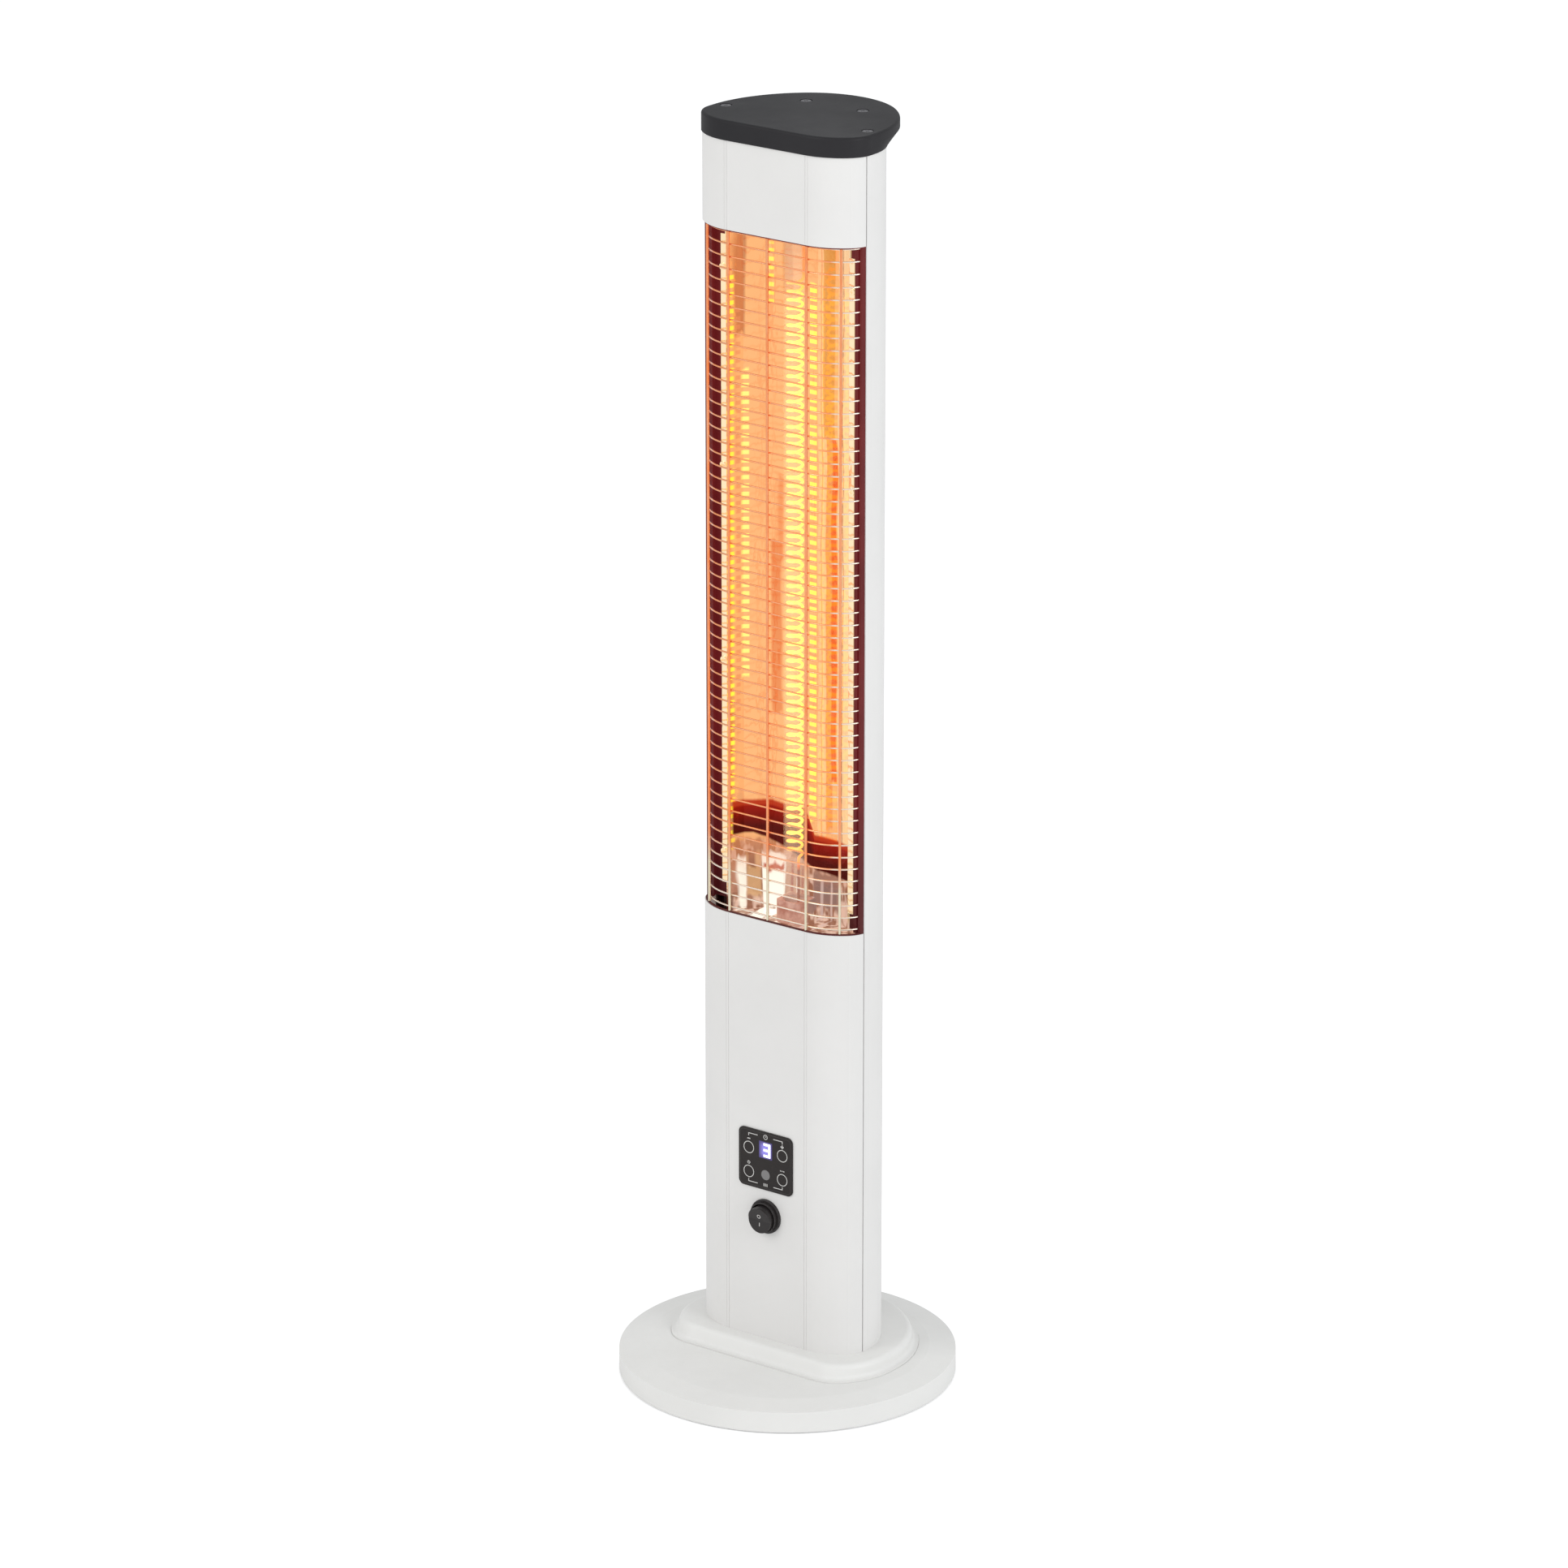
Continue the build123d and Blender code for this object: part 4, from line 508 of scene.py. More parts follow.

# %% [markdown]
# ### Inside of the shell
# Where the rails end, the camera sees past them onto the inner wall of the shell, which lies in
# shade and in the lamp's red light; that dark maroon is painted shade. The inner face could be a
# part of its own with its own finish; a mask on the one coat does the same and keeps the shell
# whole. It is true at the height of the lamp and inside the wall. The line that parts inside from
# outside follows the middle of the wall, which curves in towards the back.

# %% Inside of the shell
shell_tree = shell_coat.node_tree
shell_shader = shell_tree.nodes["Principled BSDF"]
shell_paint = shell_shader.inputs["Base Color"].links[0].from_socket
depth_back = along(shell_tree, "Y")
wall_depths = (0.0155, 0.0260)     # the depths between which the wall curves in
wall_reaches = (0.0786, 0.0745)    # the wall's middle at these two, from the heater's axis
wall_middle = range_node(shell_tree, depth_back, *wall_depths, *wall_reaches)
off_wall = math_node(shell_tree, "SUBTRACT", off_middle(shell_tree, along(shell_tree, "X")),
                     wall_middle)
inside_wall = range_node(shell_tree, off_wall, -0.0001, 0.0001, 1.0, 0.0)
before_back = range_node(shell_tree, depth_back, 0.016, 0.020, 1.0, 0.0)
shade_reach = 0.022                 # past each end of the window
at_lamp = between(shell_tree, along(shell_tree, "Z"), window_low - shade_reach,
                  window_high + shade_reach, 0.002)
# Painted shade: the inner wall turns dark maroon at the lamp, with the lamp's red in it.
painted_shade = math_node(shell_tree, "MULTIPLY", inside_wall, before_back, True)
painted_shade = math_node(shell_tree, "MULTIPLY", painted_shade, at_lamp, True)
vary(shell_tree, shell_shader.inputs["Base Color"], painted_shade, shell_paint, (0.030, 0.0045, 0.0040))
print("shell browned inside")

# %% [markdown]
# ### Rails
# The rails beside the window are black, but they stand next to a red-hot lamp and are never
# seen without it: they read as a deep maroon that is darker towards the foot of the window. A
# plain black would need the lamp's true light to look right, so the maroon is a faint glow.

# %% Rails
rail_finish, rail_tree, rail_shader, rail_mottle = grained(
    "rail_dark", 1600.0, 0.00001, 18.0, Metallic=0.2, Emission_Strength=1.0,
    Specular_IOR_Level=0.3)
# Lighter rail edges: partly wear, partly a painted highlight.
rail_edge_wear_and_highlight = place_group(rail_tree, edge_group, Width=0.0006, Amount=0.25)
rail_lit = range_node(rail_tree, along(rail_tree, "Z"), window_low, window_low + 0.12, 0.0, 1.0)
rail_colour = mix_colours(rail_tree, rail_mottle, (0.070, 0.012, 0.012), (0.045, 0.008, 0.008))
vary(rail_tree, rail_shader.inputs["Base Color"], rail_edge_wear_and_highlight.outputs["Mask"], rail_colour,
     (0.20, 0.09, 0.08))
rail_glow = mix_colours(rail_tree, rail_mottle, (0.105, 0.0075, 0.0085), (0.080, 0.0050, 0.0060))
vary(rail_tree, rail_shader.inputs["Emission Color"], rail_lit, (0.022, 0.0020, 0.0030), rail_glow)
vary(rail_tree, rail_shader.inputs["Roughness"], rail_mottle, 0.38, 0.52)
print("rails made")

# %% [markdown]
# ### Reflector
# The reflector is bright rolled sheet, never quite flat, so it breaks the lamp's image into
# upright streaks and columns of beads, one bead for each turn of the coil. Where the coil ends
# the sheet shows a dark red bloom, and below it the cool foot of the chamber in pale and brown
# blocks. A true mirror does some of this by itself, but a preview or a baked model can't trace
# it, so the larger patches are laid in the material: one list of patches, each with its reach
# across and up, and one loop that mixes them over each other.

# %% Reflector waves
mirror_finish, mirror_tree, mirror_shader = new_finish(
    "reflector_sheet", Metallic=1.0, Emission_Strength=1.0)
mirror_height = along(mirror_tree, "Z")
mirror_across = along(mirror_tree, "X")
waves = stretched_noise(mirror_tree, (38.0, 38.0, 14.0), 2.5)
streaks = stretched_noise(mirror_tree, (260.0, 90.0, 9.0), 3.0)
crumples = stretched_noise(mirror_tree, (160.0, 160.0, 70.0), 1.5)
wavy_across = math_node(mirror_tree, "ADD", mirror_across,
                        range_node(mirror_tree, waves, 0.25, 0.75, -0.0016, 0.0016))
wavy_height = math_node(mirror_tree, "ADD", mirror_height,
                        range_node(mirror_tree, crumples, 0.25, 0.75, -0.0035, 0.0035))
lit = range_node(mirror_tree, wavy_height, coil_low - 0.004, coil_low + 0.008, 0.0, 1.0)
print("lit from", round(coil_low, 3), "to", round(coil_high, 3))

# %% Reflector beads
# The beads repeat with the turns of the coil. A sine of the height gives the rhythm; the share
# of each turn that is bright is set by where the sine is cut.
coil_turn = 0.00701
beat = math_node(mirror_tree, "SINE",
                 math_node(mirror_tree, "MULTIPLY", mirror_height, 2 * math.pi / coil_turn), 0.0)
beads = range_node(mirror_tree, beat, -0.20, 0.20, 0.0, 1.0)
print("bead every", coil_turn * 1000, "mm")

# %% Reflector patches
# Each row: left and right end, foot and top (all in millimetres), softness, the colour of its
# glow, whether it is broken into beads, and how strongly it covers what lies below it.
window_top = 990
lit_foot = coil_low * 1000
patches = [
    (-60, 30, lit_foot, window_top, 2.0, (0.78, 0.375, 0.150), False, 1.0),
    (-59.2, -55.0, 880, window_top, 0.8, (0.34, 0.085, 0.035), False, 0.8),
    (-61.2, -59.2, lit_foot - 6, 930, 0.3, (1.15, 0.82, 0.06), True, 1.0),
    (-58.6, -57.0, 540, 900, 0.3, (0.62, 0.20, 0.09), True, 0.6),
    (-56.6, -52.4, 590, 850, 0.4, (1.10, 0.86, 0.20), True, 1.0),
    (-37.4, -28.6, 560, 705, 1.0, (0.62, 0.14, 0.035), False, 0.85),
    (-32.0, -27.0, 690, 760, 1.6, (0.66, 0.15, 0.035), False, 0.7),
    (-39.4, -35.2, 903, 955, 0.4, (1.15, 0.86, 0.10), True, 0.9),
    (-28.0, -19.0, 912, 958, 1.0, (0.50, 0.17, 0.035), False, 0.7),
    (-2.2, 4.8, lit_foot + 24, 925, 0.3, (1.2, 0.95, 0.12), True, 1.0),
    (6.2, 14.4, lit_foot + 10, window_top, 0.4, (0.84, 0.50, 0.24), False, 0.85),
    (9.6, 10.6, lit_foot + 10, window_top, 0.3, (0.66, 0.24, 0.09), False, 0.8),
    (14.8, 21.6, lit_foot + 20, 800, 0.4, (0.66, 0.22, 0.060), False, 0.9),
    (12.0, 24.0, 800, window_top, 0.6, (0.52, 0.22, 0.030), False, 0.85),
    (20.6, 26.4, lit_foot + 60, 800, 0.8, (0.66, 0.065, 0.010), False, 0.95),
    (27.6, 46.0, lit_foot, window_top, 0.5, (0.80, 0.58, 0.33), False, 0.85),
    (32.8, 34.0, lit_foot, window_top, 0.3, (0.36, 0.14, 0.07), False, 0.8),
    (-62, -57.0, 404, lit_foot - 16, 0.6, (0.40, 0.19, 0.12), False, 1.0),
    (-58.8, -55.0, 390, 434, 0.6, (0.95, 0.88, 0.74), False, 1.0),
    (-54.8, -45.0, 400, 437, 1.0, (0.58, 0.33, 0.16), False, 1.0),
    (-54.0, -49.0, 424, 441, 1.0, (0.11, 0.022, 0.014), False, 0.9),
    (-44.0, -25.5, 388, 438, 0.4, (1.05, 0.98, 0.84), False, 1.0),
    (-43.0, -27.0, 423, 429, 0.8, (0.45, 0.050, 0.022), False, 0.9),
    (-25.0, -3.0, 400, 436, 0.8, (0.56, 0.30, 0.19), False, 1.0),
    (-20.6, -18.0, 395, 434, 0.5, (0.34, 0.035, 0.020), False, 0.9),
    (-15.0, -12.8, 392, 422, 0.5, (0.98, 0.84, 0.72), False, 0.9),
    (-10.0, -8.0, 396, 430, 0.5, (0.36, 0.05, 0.03), False, 0.8),
    (2.0, 31.0, 400, 430, 0.8, (0.25, 0.150, 0.125), False, 1.0),
    (9.0, 12.0, 388, 424, 0.5, (0.56, 0.40, 0.35), False, 0.9),
    (20.0, 22.0, 388, 424, 0.5, (0.62, 0.44, 0.38), False, 0.8),
    (-80, -60.5, 380, 404, 0.5, (0.040, 0.005, 0.005), False, 1.0),
]


def patch_mask(left, right, foot, top, soft, beaded, cover):
    """Where one patch lies, between 0 and how strongly it covers."""
    place_x = mirror_across if beaded else wavy_across
    mask = math_node(mirror_tree, "MULTIPLY",
                     between(mirror_tree, place_x, left / 1000, right / 1000, soft / 1000),
                     between(mirror_tree, wavy_height, foot / 1000, top / 1000,
                             max(soft, 1.5) / 1000), True)
    if beaded:
        mask = math_node(mirror_tree, "MULTIPLY", mask, beads, True)
    return math_node(mirror_tree, "MULTIPLY", mask, cover, True)


warm = mix_colours(mirror_tree, range_node(mirror_tree, streaks, 0.42, 0.58, 0.0, 1.0),
                   (0.40, 0.135, 0.038), (0.66, 0.33, 0.135))
cool = mix_colours(mirror_tree, range_node(mirror_tree, crumples, 0.44, 0.56, 0.0, 1.0),
                   (0.26, 0.115, 0.070), (0.66, 0.44, 0.34))
glow = mix_colours(mirror_tree, lit, cool, warm)
for left, right, foot, top, soft, colour, beaded, cover in patches:
    glow = mix_colours(mirror_tree, patch_mask(left, right, foot, top, soft, beaded, cover),
                       glow, colour)
unlit = range_node(mirror_tree, lit, 0.0, 1.0, 0.55, 0.0)
tint_heights = (0.418, 0.446)      # between these the cool foot turns orange under the bloom
under_bloom = math_node(mirror_tree, "MULTIPLY", unlit,
                        range_node(mirror_tree, wavy_height, *tint_heights, 0.0, 1.0), True)
glow = mix_colours(mirror_tree, under_bloom, glow, (0.66, 0.21, 0.060))
print(len(patches), "patches")

# %% Reflector bloom
# The bloom is a painted dark red reflection that hangs below the lit part: its top steps down to
# the right behind the coil's end, and its foot follows. Both are heights worked out from the place
# across, all in metres. A thin brighter rim marks the top.
bloom_top = range_node(mirror_tree, mirror_across, -0.036, -0.026, 0.4835, 0.4815)
bloom_top = math_node(mirror_tree, "SUBTRACT", bloom_top,
                      range_node(mirror_tree, mirror_across, -0.006, 0.003, 0.0, 0.0215))
bloom_foot = range_node(mirror_tree, mirror_across, -0.050, 0.006, 0.4555, 0.4300)
bloom_place = math_node(mirror_tree, "ADD", mirror_height,
                        range_node(mirror_tree, waves, 0.3, 0.7, -0.0006, 0.0006))
bloom = between(mirror_tree, bloom_place, bloom_foot, bloom_top, 0.0010)
bloom_rim = between(mirror_tree, bloom_place, math_node(mirror_tree, "SUBTRACT", bloom_top, 0.004),
                    math_node(mirror_tree, "ADD", bloom_top, 0.001), 0.0012)
inside_flanges = between(mirror_tree, mirror_across, -0.0600, 0.0605, 0.0004)
bloom = math_node(mirror_tree, "MULTIPLY", bloom, inside_flanges, True)
bloom_rim = math_node(mirror_tree, "MULTIPLY", bloom_rim, inside_flanges, True)
# The flanges are pale beige with a pale glow: painted lamp light on them.
flange = range_node(mirror_tree, off_middle(mirror_tree, mirror_across), 0.0610, 0.0616,
                    0.0, 1.0)
flange = math_node(mirror_tree, "MULTIPLY", flange,
                   range_node(mirror_tree, mirror_height, 0.404, 0.410, 0.0, 1.0), True)
below_top = range_node(mirror_tree, math_node(mirror_tree, "SUBTRACT", bloom_top, bloom_place),
                       0.003, 0.022, 0.0, 1.0)
bloom_red = mix_colours(mirror_tree, below_top, (0.30, 0.010, 0.004), (0.055, 0.0050, 0.0035))
glow = mix_colours(mirror_tree, bloom, glow, bloom_red)
glow = mix_colours(mirror_tree, bloom_rim, glow, (0.46, 0.040, 0.012))
glow = mix_colours(mirror_tree, flange, glow, (0.40, 0.29, 0.155))
mirror_tree.links.new(glow, mirror_shader.inputs["Emission Color"])
# The sheet's own colour also carries painted light: warmer where the coil lights it, dark red in
# the painted reflection of the bloom, pale on the flanges.
sheet_colour_in_lamp_light = mix_colours(mirror_tree, lit, (0.13, 0.080, 0.060), (0.26, 0.135, 0.060))
sheet_colour_in_lamp_light = mix_colours(mirror_tree, bloom, sheet_colour_in_lamp_light, (0.05, 0.006, 0.005))
sheet_colour_in_lamp_light = mix_colours(mirror_tree, flange, sheet_colour_in_lamp_light, (0.66, 0.54, 0.38))
mirror_tree.links.new(sheet_colour_in_lamp_light, mirror_shader.inputs["Base Color"])
mirror_tree.links.new(range_node(mirror_tree, waves, 0.3, 0.7, 0.05, 0.12),
                      mirror_shader.inputs["Roughness"])
add_bump(mirror_tree, mirror_shader, waves, 0.0009)
add_bump(mirror_tree, mirror_shader, crumples, 0.00025)
print("reflector made")

# %% [markdown]
# ### Lamp
# The coil glows by itself: hottest and yellow along its length, orange where its first and last
# turns give their heat to the ceramic blocks. Its wire is oxidised, so a fine noise varies the
# glow. The quartz tube round it is clear.

# %% Lamp
coil_finish, coil_tree, coil_shader, coil_mottle = grained(
    "glowing_coil", 1500.0, 0.00002, 160.0, Roughness=0.5, Emission_Strength=2.3)
coil_height = along(coil_tree, "Z")
warm_up = range_node(coil_tree, coil_height, coil_low - 0.008, coil_low + 0.030, 0.0, 1.0)
cool_down = range_node(coil_tree, coil_height, coil_high + 0.008, coil_high - 0.030, 0.0, 1.0)
heat = math_node(coil_tree, "MULTIPLY", warm_up, cool_down, True)
hot = mix_colours(coil_tree, coil_mottle, (1.0, 0.60, 0.045), (1.0, 0.72, 0.10))
tail = range_node(coil_tree, coil_height, coil_low - 0.012, coil_low - 0.004, 0.0, 1.0)
coil_glow = mix_colours(coil_tree, heat, (0.60, 0.10, 0.01), hot)
vary(coil_tree, coil_shader.inputs["Emission Color"], tail, (0.060, 0.004, 0.002), coil_glow)
vary(coil_tree, coil_shader.inputs["Base Color"], coil_mottle, (0.35, 0.20, 0.12),
     (0.25, 0.14, 0.09))

quartz_finish, quartz_tree, quartz_shader, quartz_mottle = grained(
    "clear_quartz", 400.0, 0.000004, 22.0, Base_Color=(0.98, 0.90, 0.78, 1.0),
    Specular_IOR_Level=0.6)
vary(quartz_tree, quartz_shader.inputs["Roughness"], quartz_mottle, 0.02, 0.07)
vary(quartz_tree, quartz_shader.inputs["Alpha"], quartz_mottle, 0.08, 0.13)
print("coil and tube made")

# %% [markdown]
# ### Display and boards
# The display is a smoked window with light behind it: a bright patch that fades to violet at
# the rim. The receiver window beside the keys is smoked grey. Circuit boards are green solder
# mask over copper tracks, which a brick pattern suggests.

# %% Display and boards
display_finish, display_tree, display_shader, display_mottle = grained(
    "display_window", 1800.0, 0.000003, 300.0, Base_Color=(0.030, 0.026, 0.050, 1.0),
    Emission_Strength=1.0)
display_low, display_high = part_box("display_window")
display_middle = (display_low + display_high) / 2
half_wide = (display_high.x - display_low.x) / 2
half_tall = (display_high.z - display_low.z) / 2
across = off_middle(display_tree, along(display_tree, "X"), display_middle.x)
upright = off_middle(display_tree, along(display_tree, "Z"), display_middle.z)
fade_x = range_node(display_tree, across, half_wide, half_wide * 0.35, 0.0, 1.0)
fade_z = range_node(display_tree, upright, half_tall, half_tall * 0.45, 0.0, 1.0)
patch = math_node(display_tree, "MULTIPLY", fade_x, fade_z)
patch = math_node(display_tree, "MULTIPLY", patch,
                  range_node(display_tree, display_mottle, 0.0, 1.0, 0.85, 1.0), True)
vary(display_tree, display_shader.inputs["Emission Color"], patch, (0.045, 0.030, 0.16),
     (0.30, 0.26, 0.85))
vary(display_tree, display_shader.inputs["Roughness"], display_mottle, 0.10, 0.18)

smoked = coated("receiver_smoked", (0.20, 0.195, 0.195), (0.16, 0.155, 0.155), (0.25, 0.25, 0.25),
                0.22, 2000.0, 0.000004, edge=0.2, dust=0.0)

board_finish, board_tree, board_shader, board_mottle = grained(
    "circuit_board", 1400.0, 0.00001, 25.0, Coat_Weight=0.4)
board_place = board_tree.nodes.new("ShaderNodeTexCoord")
board_turn = board_tree.nodes.new("ShaderNodeMapping")
board_turn.inputs["Rotation"].default_value = (math.radians(90), 0, 0)
tracks = board_tree.nodes.new("ShaderNodeTexBrick")
tracks.inputs["Scale"].default_value = 120.0
tracks.inputs["Mortar Size"].default_value = 0.04
board_tree.links.new(board_place.outputs["Object"], board_turn.inputs["Vector"])
board_tree.links.new(board_turn.outputs[0], tracks.inputs["Vector"])
mask_green = mix_colours(board_tree, board_mottle, (0.012, 0.085, 0.030), (0.008, 0.060, 0.022))
vary(board_tree, board_shader.inputs["Base Color"], tracks.outputs["Fac"], mask_green,
     (0.03, 0.16, 0.06))
vary(board_tree, board_shader.inputs["Roughness"], board_mottle, 0.28, 0.4)


def lit_face(name, strength, mottle_scale, glows, bodies):
    """A lit surface whose glow and body each vary slowly between two colours."""
    material, tree, shader = new_finish(name, Emission_Strength=strength)
    grain = place_group(tree, grain_group, Mottle_Scale=mottle_scale)
    vary(tree, shader.inputs["Emission Color"], grain.outputs["Mottle"], *glows)
    vary(tree, shader.inputs["Base Color"], grain.outputs["Mottle"], *bodies)
    return material


lit_module = lit_face("display_module", 0.8, 200.0, ((0.4, 0.36, 0.9), (0.3, 0.28, 0.8)),
                      ((0.6, 0.6, 0.7), (0.5, 0.5, 0.6)))
print("display and boards made")

# %% [markdown]
# ## Dress the model
# A piece from the solid model keeps its mesh; only its material slot changes. One list says
# which finish each piece has, and the cell stops if a piece was forgotten.

# %% Dress the model
dressing = {
    housing_coat: ("lower_front_cover", "upper_front_cover"),
    shell_coat: ("rear_shell",),
    base_plastic: ("base_shell", "collar"),
    cap_plastic: ("top_cap",),
    cap_screw_black: ("cap_screws",),
    panel_plastic: ("panel_overlay", "minus_key", "plus_key", "off_key", "mode_key"),
    frame_plastic: ("panel_bezel",),
    switch_plastic: ("switch_body", "switch_rocker", "switch_nut", "cable_gland", "gland_nut"),
    feet_rubber: ("rubber_feet",),
    part_plastic: ("relays", "transformer", "capacitor", "tilt_switch", "tact_switches",
                   "receiver_diode", "terminal_block", "board_spacers"),
    sleeve: ("lamp_leads",),
    ceramic: ("lower_lamp_cap", "upper_lamp_cap"),
    zinc_sheet: ("base_bottom_plate", "foot_plate", "head_plate", "chassis_plate"),
    screw_metal: ("base_screws", "column_screws", "board_screws"),
    weight_iron: ("base_weight",),
    contact_brass: ("switch_tabs", "thermal_cutout"),
    guard_wire: ("grille_wires",),
    guard_upright: ("grille_uprights",),
    rail_finish: ("left_side_rail", "right_side_rail", "lower_window_trim", "upper_window_trim"),
    mirror_finish: ("reflector", "reflector_sides", "reflector_screws", "chamber_floor",
                    "chamber_ceiling", "lower_lamp_bracket", "upper_lamp_bracket"),
    coil_finish: ("heating_coil",),
    quartz_finish: ("quartz_tube",),
    display_finish: ("display_window",),
    smoked: ("infrared_window",),
    board_finish: ("control_board", "power_board"),
    lit_module: ("display_module",),
}
dressed = set()
for finish, names in dressing.items():
    for name in names:
        mesh = nodes[name].data
        mesh.materials.clear()
        mesh.materials.append(finish)
        dressed.add(name)
assert dressed == set(nodes), sorted(set(nodes) ^ dressed)
print(len(dressed), "pieces dressed")

# %% [markdown]
# ## Printed marks
# The panel's rings, brackets and signs are screen-printed ink, about a twentieth of a
# millimetre thick. They could be painted into the panel's material, but ink has its own gloss
# and a crisp edge at any size of picture, so they are thin pieces that lie on the film. Every
# mark starts in the plane of the page, X to the right and Y up, gets its thickness, and is then
# stood up against the face it is printed on.

# %% Ink
ink = coated("printed_ink", (0.66, 0.65, 0.63), (0.58, 0.57, 0.55), (0.5, 0.5, 0.5), 0.45, 2500.0,
             0.000004, edge=0.0, dust=0.0)
ink_thickness = 0.00006
panel_low, panel_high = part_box("panel_overlay")
panel_middle = (panel_low + panel_high) / 2
panel_face_y = panel_low.y


def flat_ring(shape, middle, radius, line, segments=48):
    """A flat ring between two circles."""
    rims = []
    for rim in (radius - line / 2, radius + line / 2):
        made = bmesh.ops.create_circle(shape, segments=segments, radius=rim,
                                       matrix=Matrix.Translation((middle[0], middle[1], 0)))
        corners = set(made["verts"])
        rims += [edge for edge in shape.edges if set(edge.verts) <= corners]
    bmesh.ops.bridge_loops(shape, edges=rims)


def flat_bar(shape, middle, wide, tall):
    """A flat rectangle."""
    place = Matrix.Translation((middle[0], middle[1], 0)) @ Matrix.Diagonal((wide, tall, 1, 1))
    bmesh.ops.create_grid(shape, x_segments=1, y_segments=1, size=0.5, matrix=place)


def print_on(name, shape, origin, body, finish, lean=0.0):
    """Gives flat marks their thickness, stands them up at a point and lets them ride."""
    bmesh.ops.recalc_face_normals(shape, faces=shape.faces)
    for face in shape.faces:
        if face.normal.z < 0:
            face.normal_flip()
    raised = bmesh.ops.extrude_face_region(shape, geom=list(shape.faces))
    lifted = [item for item in raised["geom"] if isinstance(item, bmesh.types.BMVert)]
    bmesh.ops.translate(shape, verts=lifted, vec=(0, 0, ink_thickness))
    bmesh.ops.recalc_face_normals(shape, faces=shape.faces)
    stand = (Matrix.Translation(origin) @ Matrix.Rotation(lean, 4, "X")
             @ Matrix.Rotation(math.radians(90), 4, "X"))
    bmesh.ops.transform(shape, matrix=stand, verts=shape.verts)
    mesh = bpy.data.meshes.new(name)
    shape.to_mesh(mesh)
    shape.free()
    mesh.materials.append(finish)
    piece = bpy.data.objects.new(name, mesh)
    bpy.context.scene.collection.objects.link(piece)
    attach(piece, body)
    print(name, len(mesh.polygons), "faces")


# %% Panel marks
key_places = {}
for name in ("minus_key", "plus_key", "off_key", "mode_key"):
    middle = (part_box(name)[0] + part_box(name)[1]) / 2
    key_places[name] = (middle.x - panel_middle.x, middle.z - panel_middle.z)
marks = bmesh.new()
for place in key_places.values():
    flat_ring(marks, place, 0.0050, 0.0006)
sign_above = 0.0078            # from a key's middle up to the sign above it
sign_line = 0.0008
minus_x, minus_z = key_places["minus_key"]
plus_x, plus_z = key_places["plus_key"]
flat_bar(marks, (minus_x, minus_z + sign_above), 0.0030, sign_line)
flat_bar(marks, (plus_x, plus_z + sign_above), 0.0034, sign_line)
for side in (-1, 1):
    flat_bar(marks, (plus_x, plus_z + sign_above + side * 0.00105), sign_line, 0.0013)
bracket_line = 0.0006
bracket_aside, bracket_above = 0.0173, 0.0212      # its corner, from the panel's middle
bracket_wide, bracket_tall = 0.0089, 0.0026
wide_place = bracket_aside - (bracket_line + bracket_wide) / 2
tall_place = bracket_above + (bracket_line - bracket_tall) / 2
for side in (-1, 1):
    for level in (-1, 1):
        flat_bar(marks, (side * wide_place, level * bracket_above), bracket_wide, bracket_line)
        flat_bar(marks, (side * bracket_aside, level * tall_place), bracket_line, bracket_tall)
print_on("panel_marks", marks, (panel_middle.x, panel_face_y, panel_middle.z), "heater", ink)

# %% [markdown]
# ### Signs instead of words
# Where the printed words would be, this heater has plain signs that any maker uses: a clock
# between the upper brackets, three bars of heat between the lower ones, a ring with a stroke
# over the key that switches off, and three dots over the key that steps through the settings.
# They are drawn with the same rings and bars as the rest.


# %% Signs
def flat_arc(shape, middle, radius, line, gap, segments=40):
    """A flat ring that is open at the top, by an angle either side."""
    inner, outer = [], []
    for step in range(segments + 1):
        angle = math.radians(90) + gap + (2 * math.pi - 2 * gap) * step / segments
        for rim, reach in ((inner, radius - line / 2), (outer, radius + line / 2)):
            rim.append(shape.verts.new((middle[0] + reach * math.cos(angle),
                                        middle[1] + reach * math.sin(angle), 0)))
    for step in range(segments):
        shape.faces.new((inner[step], outer[step], outer[step + 1], inner[step + 1]))


signs = bmesh.new()
sign_row = 0.0211              # from the panel's middle up to the clock, and down to the bars
clock = (0.0, sign_row)
flat_ring(signs, clock, 0.0019, 0.0005, segments=32)
flat_bar(signs, (clock[0], clock[1] + 0.0005), 0.0004, 0.0012)
flat_bar(signs, (clock[0] + 0.00055, clock[1] + 0.0001), 0.0007, 0.0004)
for place in (-1, 0, 1):
    flat_bar(signs, (place * 0.0016, -sign_row), 0.0007, 0.0026)
off_x, off_z = key_places["off_key"]
flat_arc(signs, (off_x, off_z + 0.0080), 0.0012, 0.0005, math.radians(35))
flat_bar(signs, (off_x, off_z + 0.0088), 0.0005, 0.0014)
mode_x, mode_z = key_places["mode_key"]
for place in (-1, 0, 1):
    flat_bar(signs, (mode_x + place * 0.0017, mode_z + sign_above), 0.0009, 0.0009)
print_on("panel_signs", signs, (panel_middle.x, panel_face_y, panel_middle.z), "heater", ink)


# %% [markdown]
# ### Border line
# A faint line runs round the film a little inside its edge, where the film is bonded down. It is
# drawn as two rounded rectangles with faces between them, in an ink a shade lighter than the
# film.


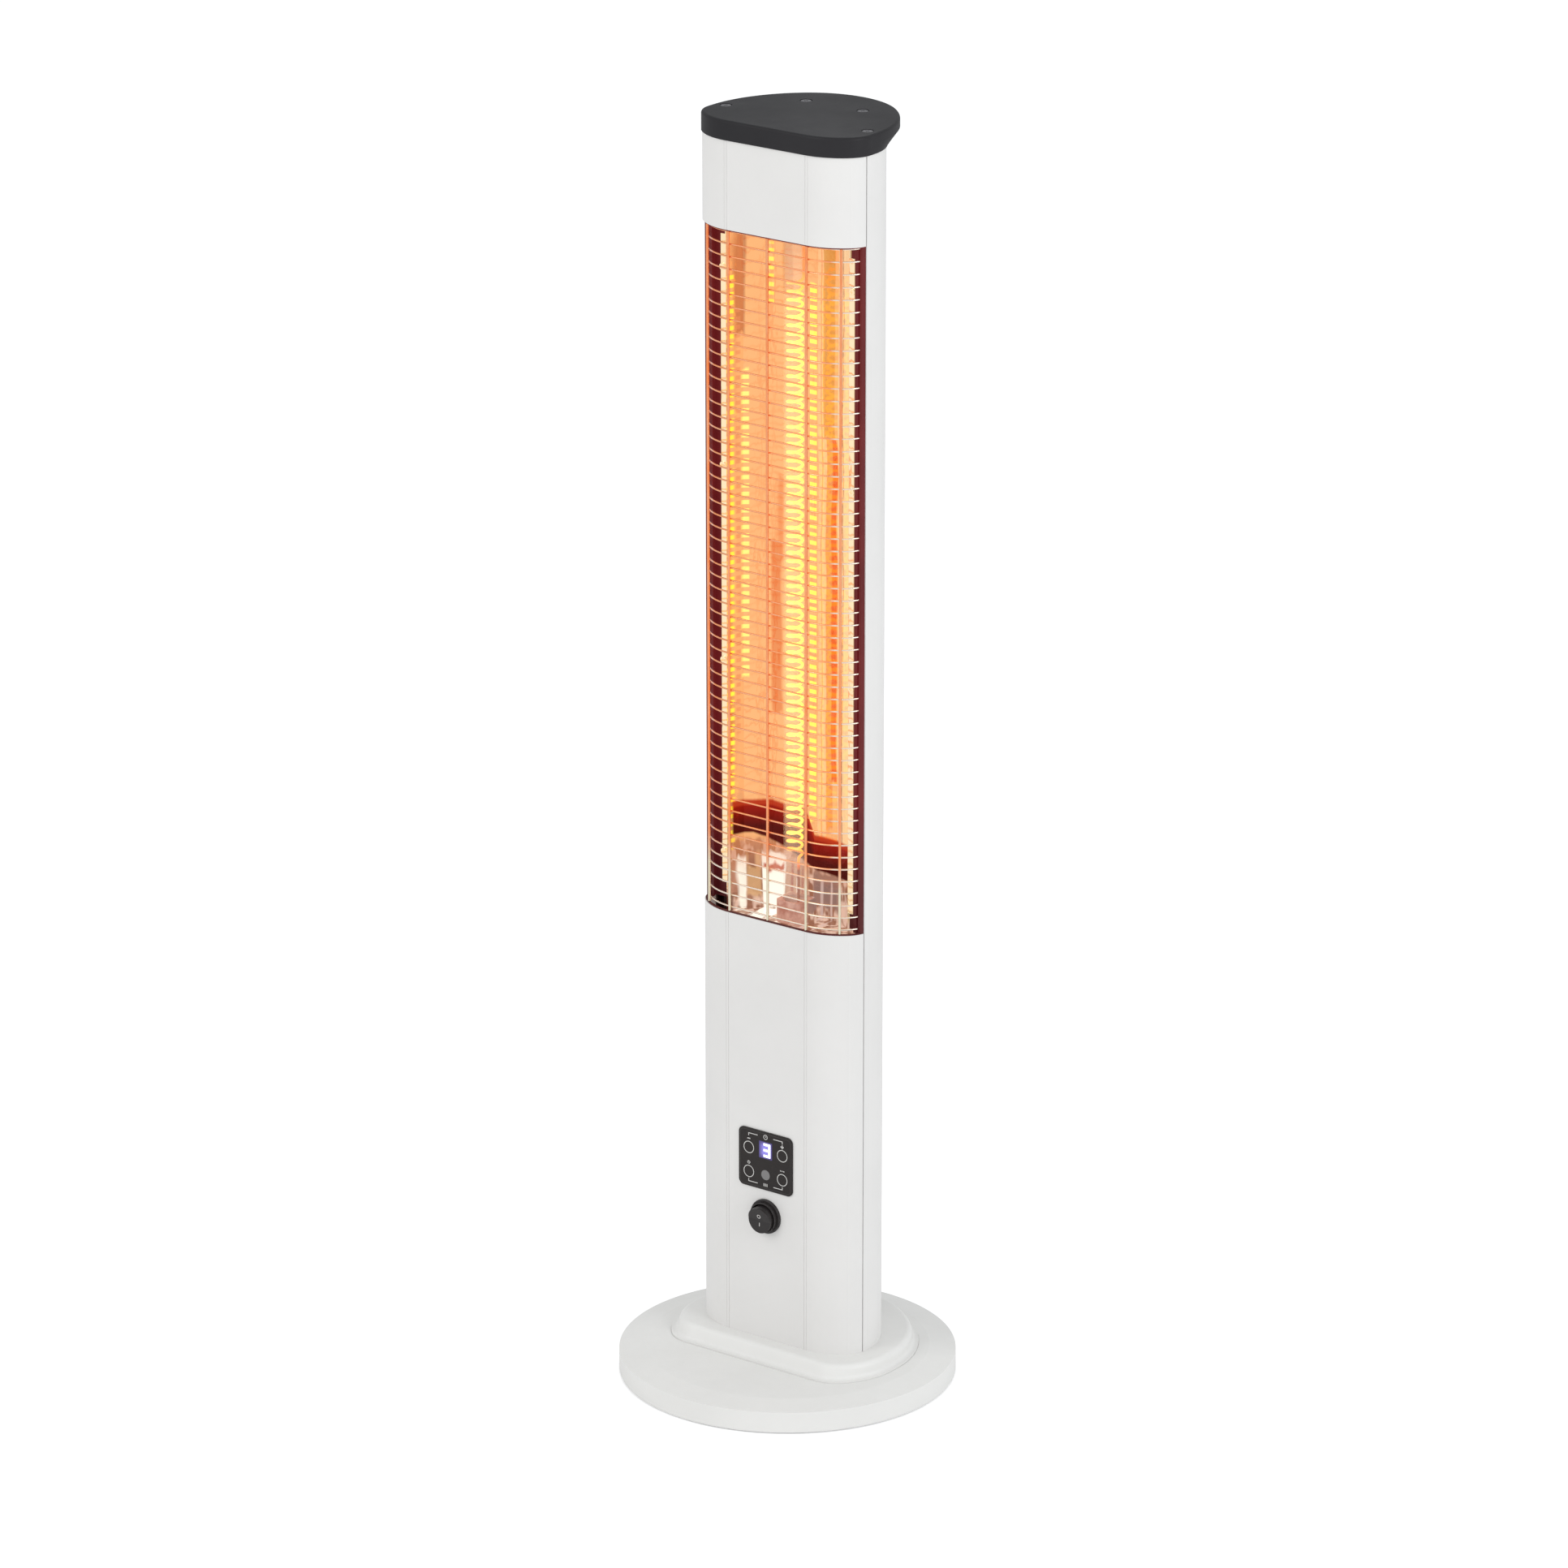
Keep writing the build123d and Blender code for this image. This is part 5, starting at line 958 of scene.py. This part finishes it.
# %% Border line
def rounded_loop(shape, wide, tall, corner, steps=8):
    """The corners of a rounded rectangle, in order."""
    loop = []
    for turn, (sx, sy) in enumerate(((1, 1), (-1, 1), (-1, -1), (1, -1))):
        for step in range(steps + 1):
            angle = math.radians(90) * (turn + step / steps)
            loop.append(shape.verts.new((sx * (wide / 2 - corner) + corner * math.cos(angle),
                                         sy * (tall / 2 - corner) + corner * math.sin(angle), 0)))
    return loop


border_ink = coated("border_line", (0.045, 0.040, 0.038), (0.035, 0.031, 0.030),
                    (0.05, 0.05, 0.05), 0.35, 2500.0, 0.000004, edge=0.0, dust=0.0)
border = bmesh.new()
panel_wide = panel_high.x - panel_low.x
panel_tall = panel_high.z - panel_low.z
border_inset = 0.0015
border_line = 0.0003
border_corner = 0.0036
outer_loop = rounded_loop(border, panel_wide - 2 * border_inset, panel_tall - 2 * border_inset,
                          border_corner)
inner_inset = border_inset + border_line
inner_loop = rounded_loop(border, panel_wide - 2 * inner_inset, panel_tall - 2 * inner_inset,
                          border_corner - border_line)
for step in range(len(outer_loop)):
    after = (step + 1) % len(outer_loop)
    border.faces.new((inner_loop[step], outer_loop[step], outer_loop[after], inner_loop[after]))
print_on("panel_border", border, (panel_middle.x, panel_face_y, panel_middle.z), "heater",
         border_ink)

# %% [markdown]
# ## The digit on the display
# A display of seven bars shows its digit by the bars that are lit, here three across and two on
# the right. They are the same flat rectangles, with a finish that glows blue-white.

# %% Digit
digit_finish = lit_face("lit_digit", 1.6, 500.0, ((0.80, 0.82, 1.0), (0.68, 0.70, 1.0)),
                        ((0.8, 0.8, 0.9), (0.7, 0.7, 0.8)))
digit = bmesh.new()
digit_wide = 0.0060
digit_tall = 0.0100
stroke = 0.0021
for level in (-1, 0, 1):
    flat_bar(digit, (stroke / 4, level * digit_tall / 2), digit_wide + stroke / 2, stroke)
for level in (-1, 1):
    flat_bar(digit, (digit_wide / 2, level * digit_tall / 4), stroke, digit_tall / 2 - stroke)
digit_aside = 0.0010           # the digit stands a little right of the window's middle
print_on("display_digit", digit,
         (display_middle.x + digit_aside, display_low.y, display_middle.z), "heater", digit_finish)

# %% [markdown]
# ## Marks on the rocker
# The rocker carries a ring above a bar. Its face is two flats that lean away from each other,
# and each mark lies on its own flat, so each has its own lean. They ride on the rocker, and tip
# with it.

# %% Rocker marks
rocker_joint = [joint for joint in frame["joints"] if joint["child"] == "rocker"][0]
pivot_y, pivot_z = rocker_joint["pos_m"][1], rocker_joint["pos_m"][2]
half_tip = math.radians(rocker_joint["range_deg"][1] / 2)
face_ahead = 0.0071            # middle of the face, in front of the pivot
mark_reach = 0.0037            # from the middle of the face to each mark


def rocker_spot(upward):
    """Where a mark's middle lies on the tipped rocker, and how far its flat leans."""
    ahead = -face_ahead - mark_reach * math.sin(half_tip)
    above = upward * mark_reach * math.cos(half_tip)
    y = pivot_y + ahead * math.cos(half_tip) - above * math.sin(half_tip)
    z = pivot_z + ahead * math.sin(half_tip) + above * math.cos(half_tip)
    return (0.0, y, z), half_tip + upward * half_tip


ring_mark = bmesh.new()
flat_ring(ring_mark, (0, 0), 0.0015, 0.0005, segments=32)
ring_spot, ring_lean = rocker_spot(1)
print_on("rocker_ring_mark", ring_mark, ring_spot, "rocker", ink, lean=ring_lean)
bar_mark = bmesh.new()
flat_bar(bar_mark, (0, 0), 0.0006, 0.0032)
bar_spot, bar_lean = rocker_spot(-1)
print_on("rocker_bar_mark", bar_mark, bar_spot, "rocker", ink, lean=bar_lean)
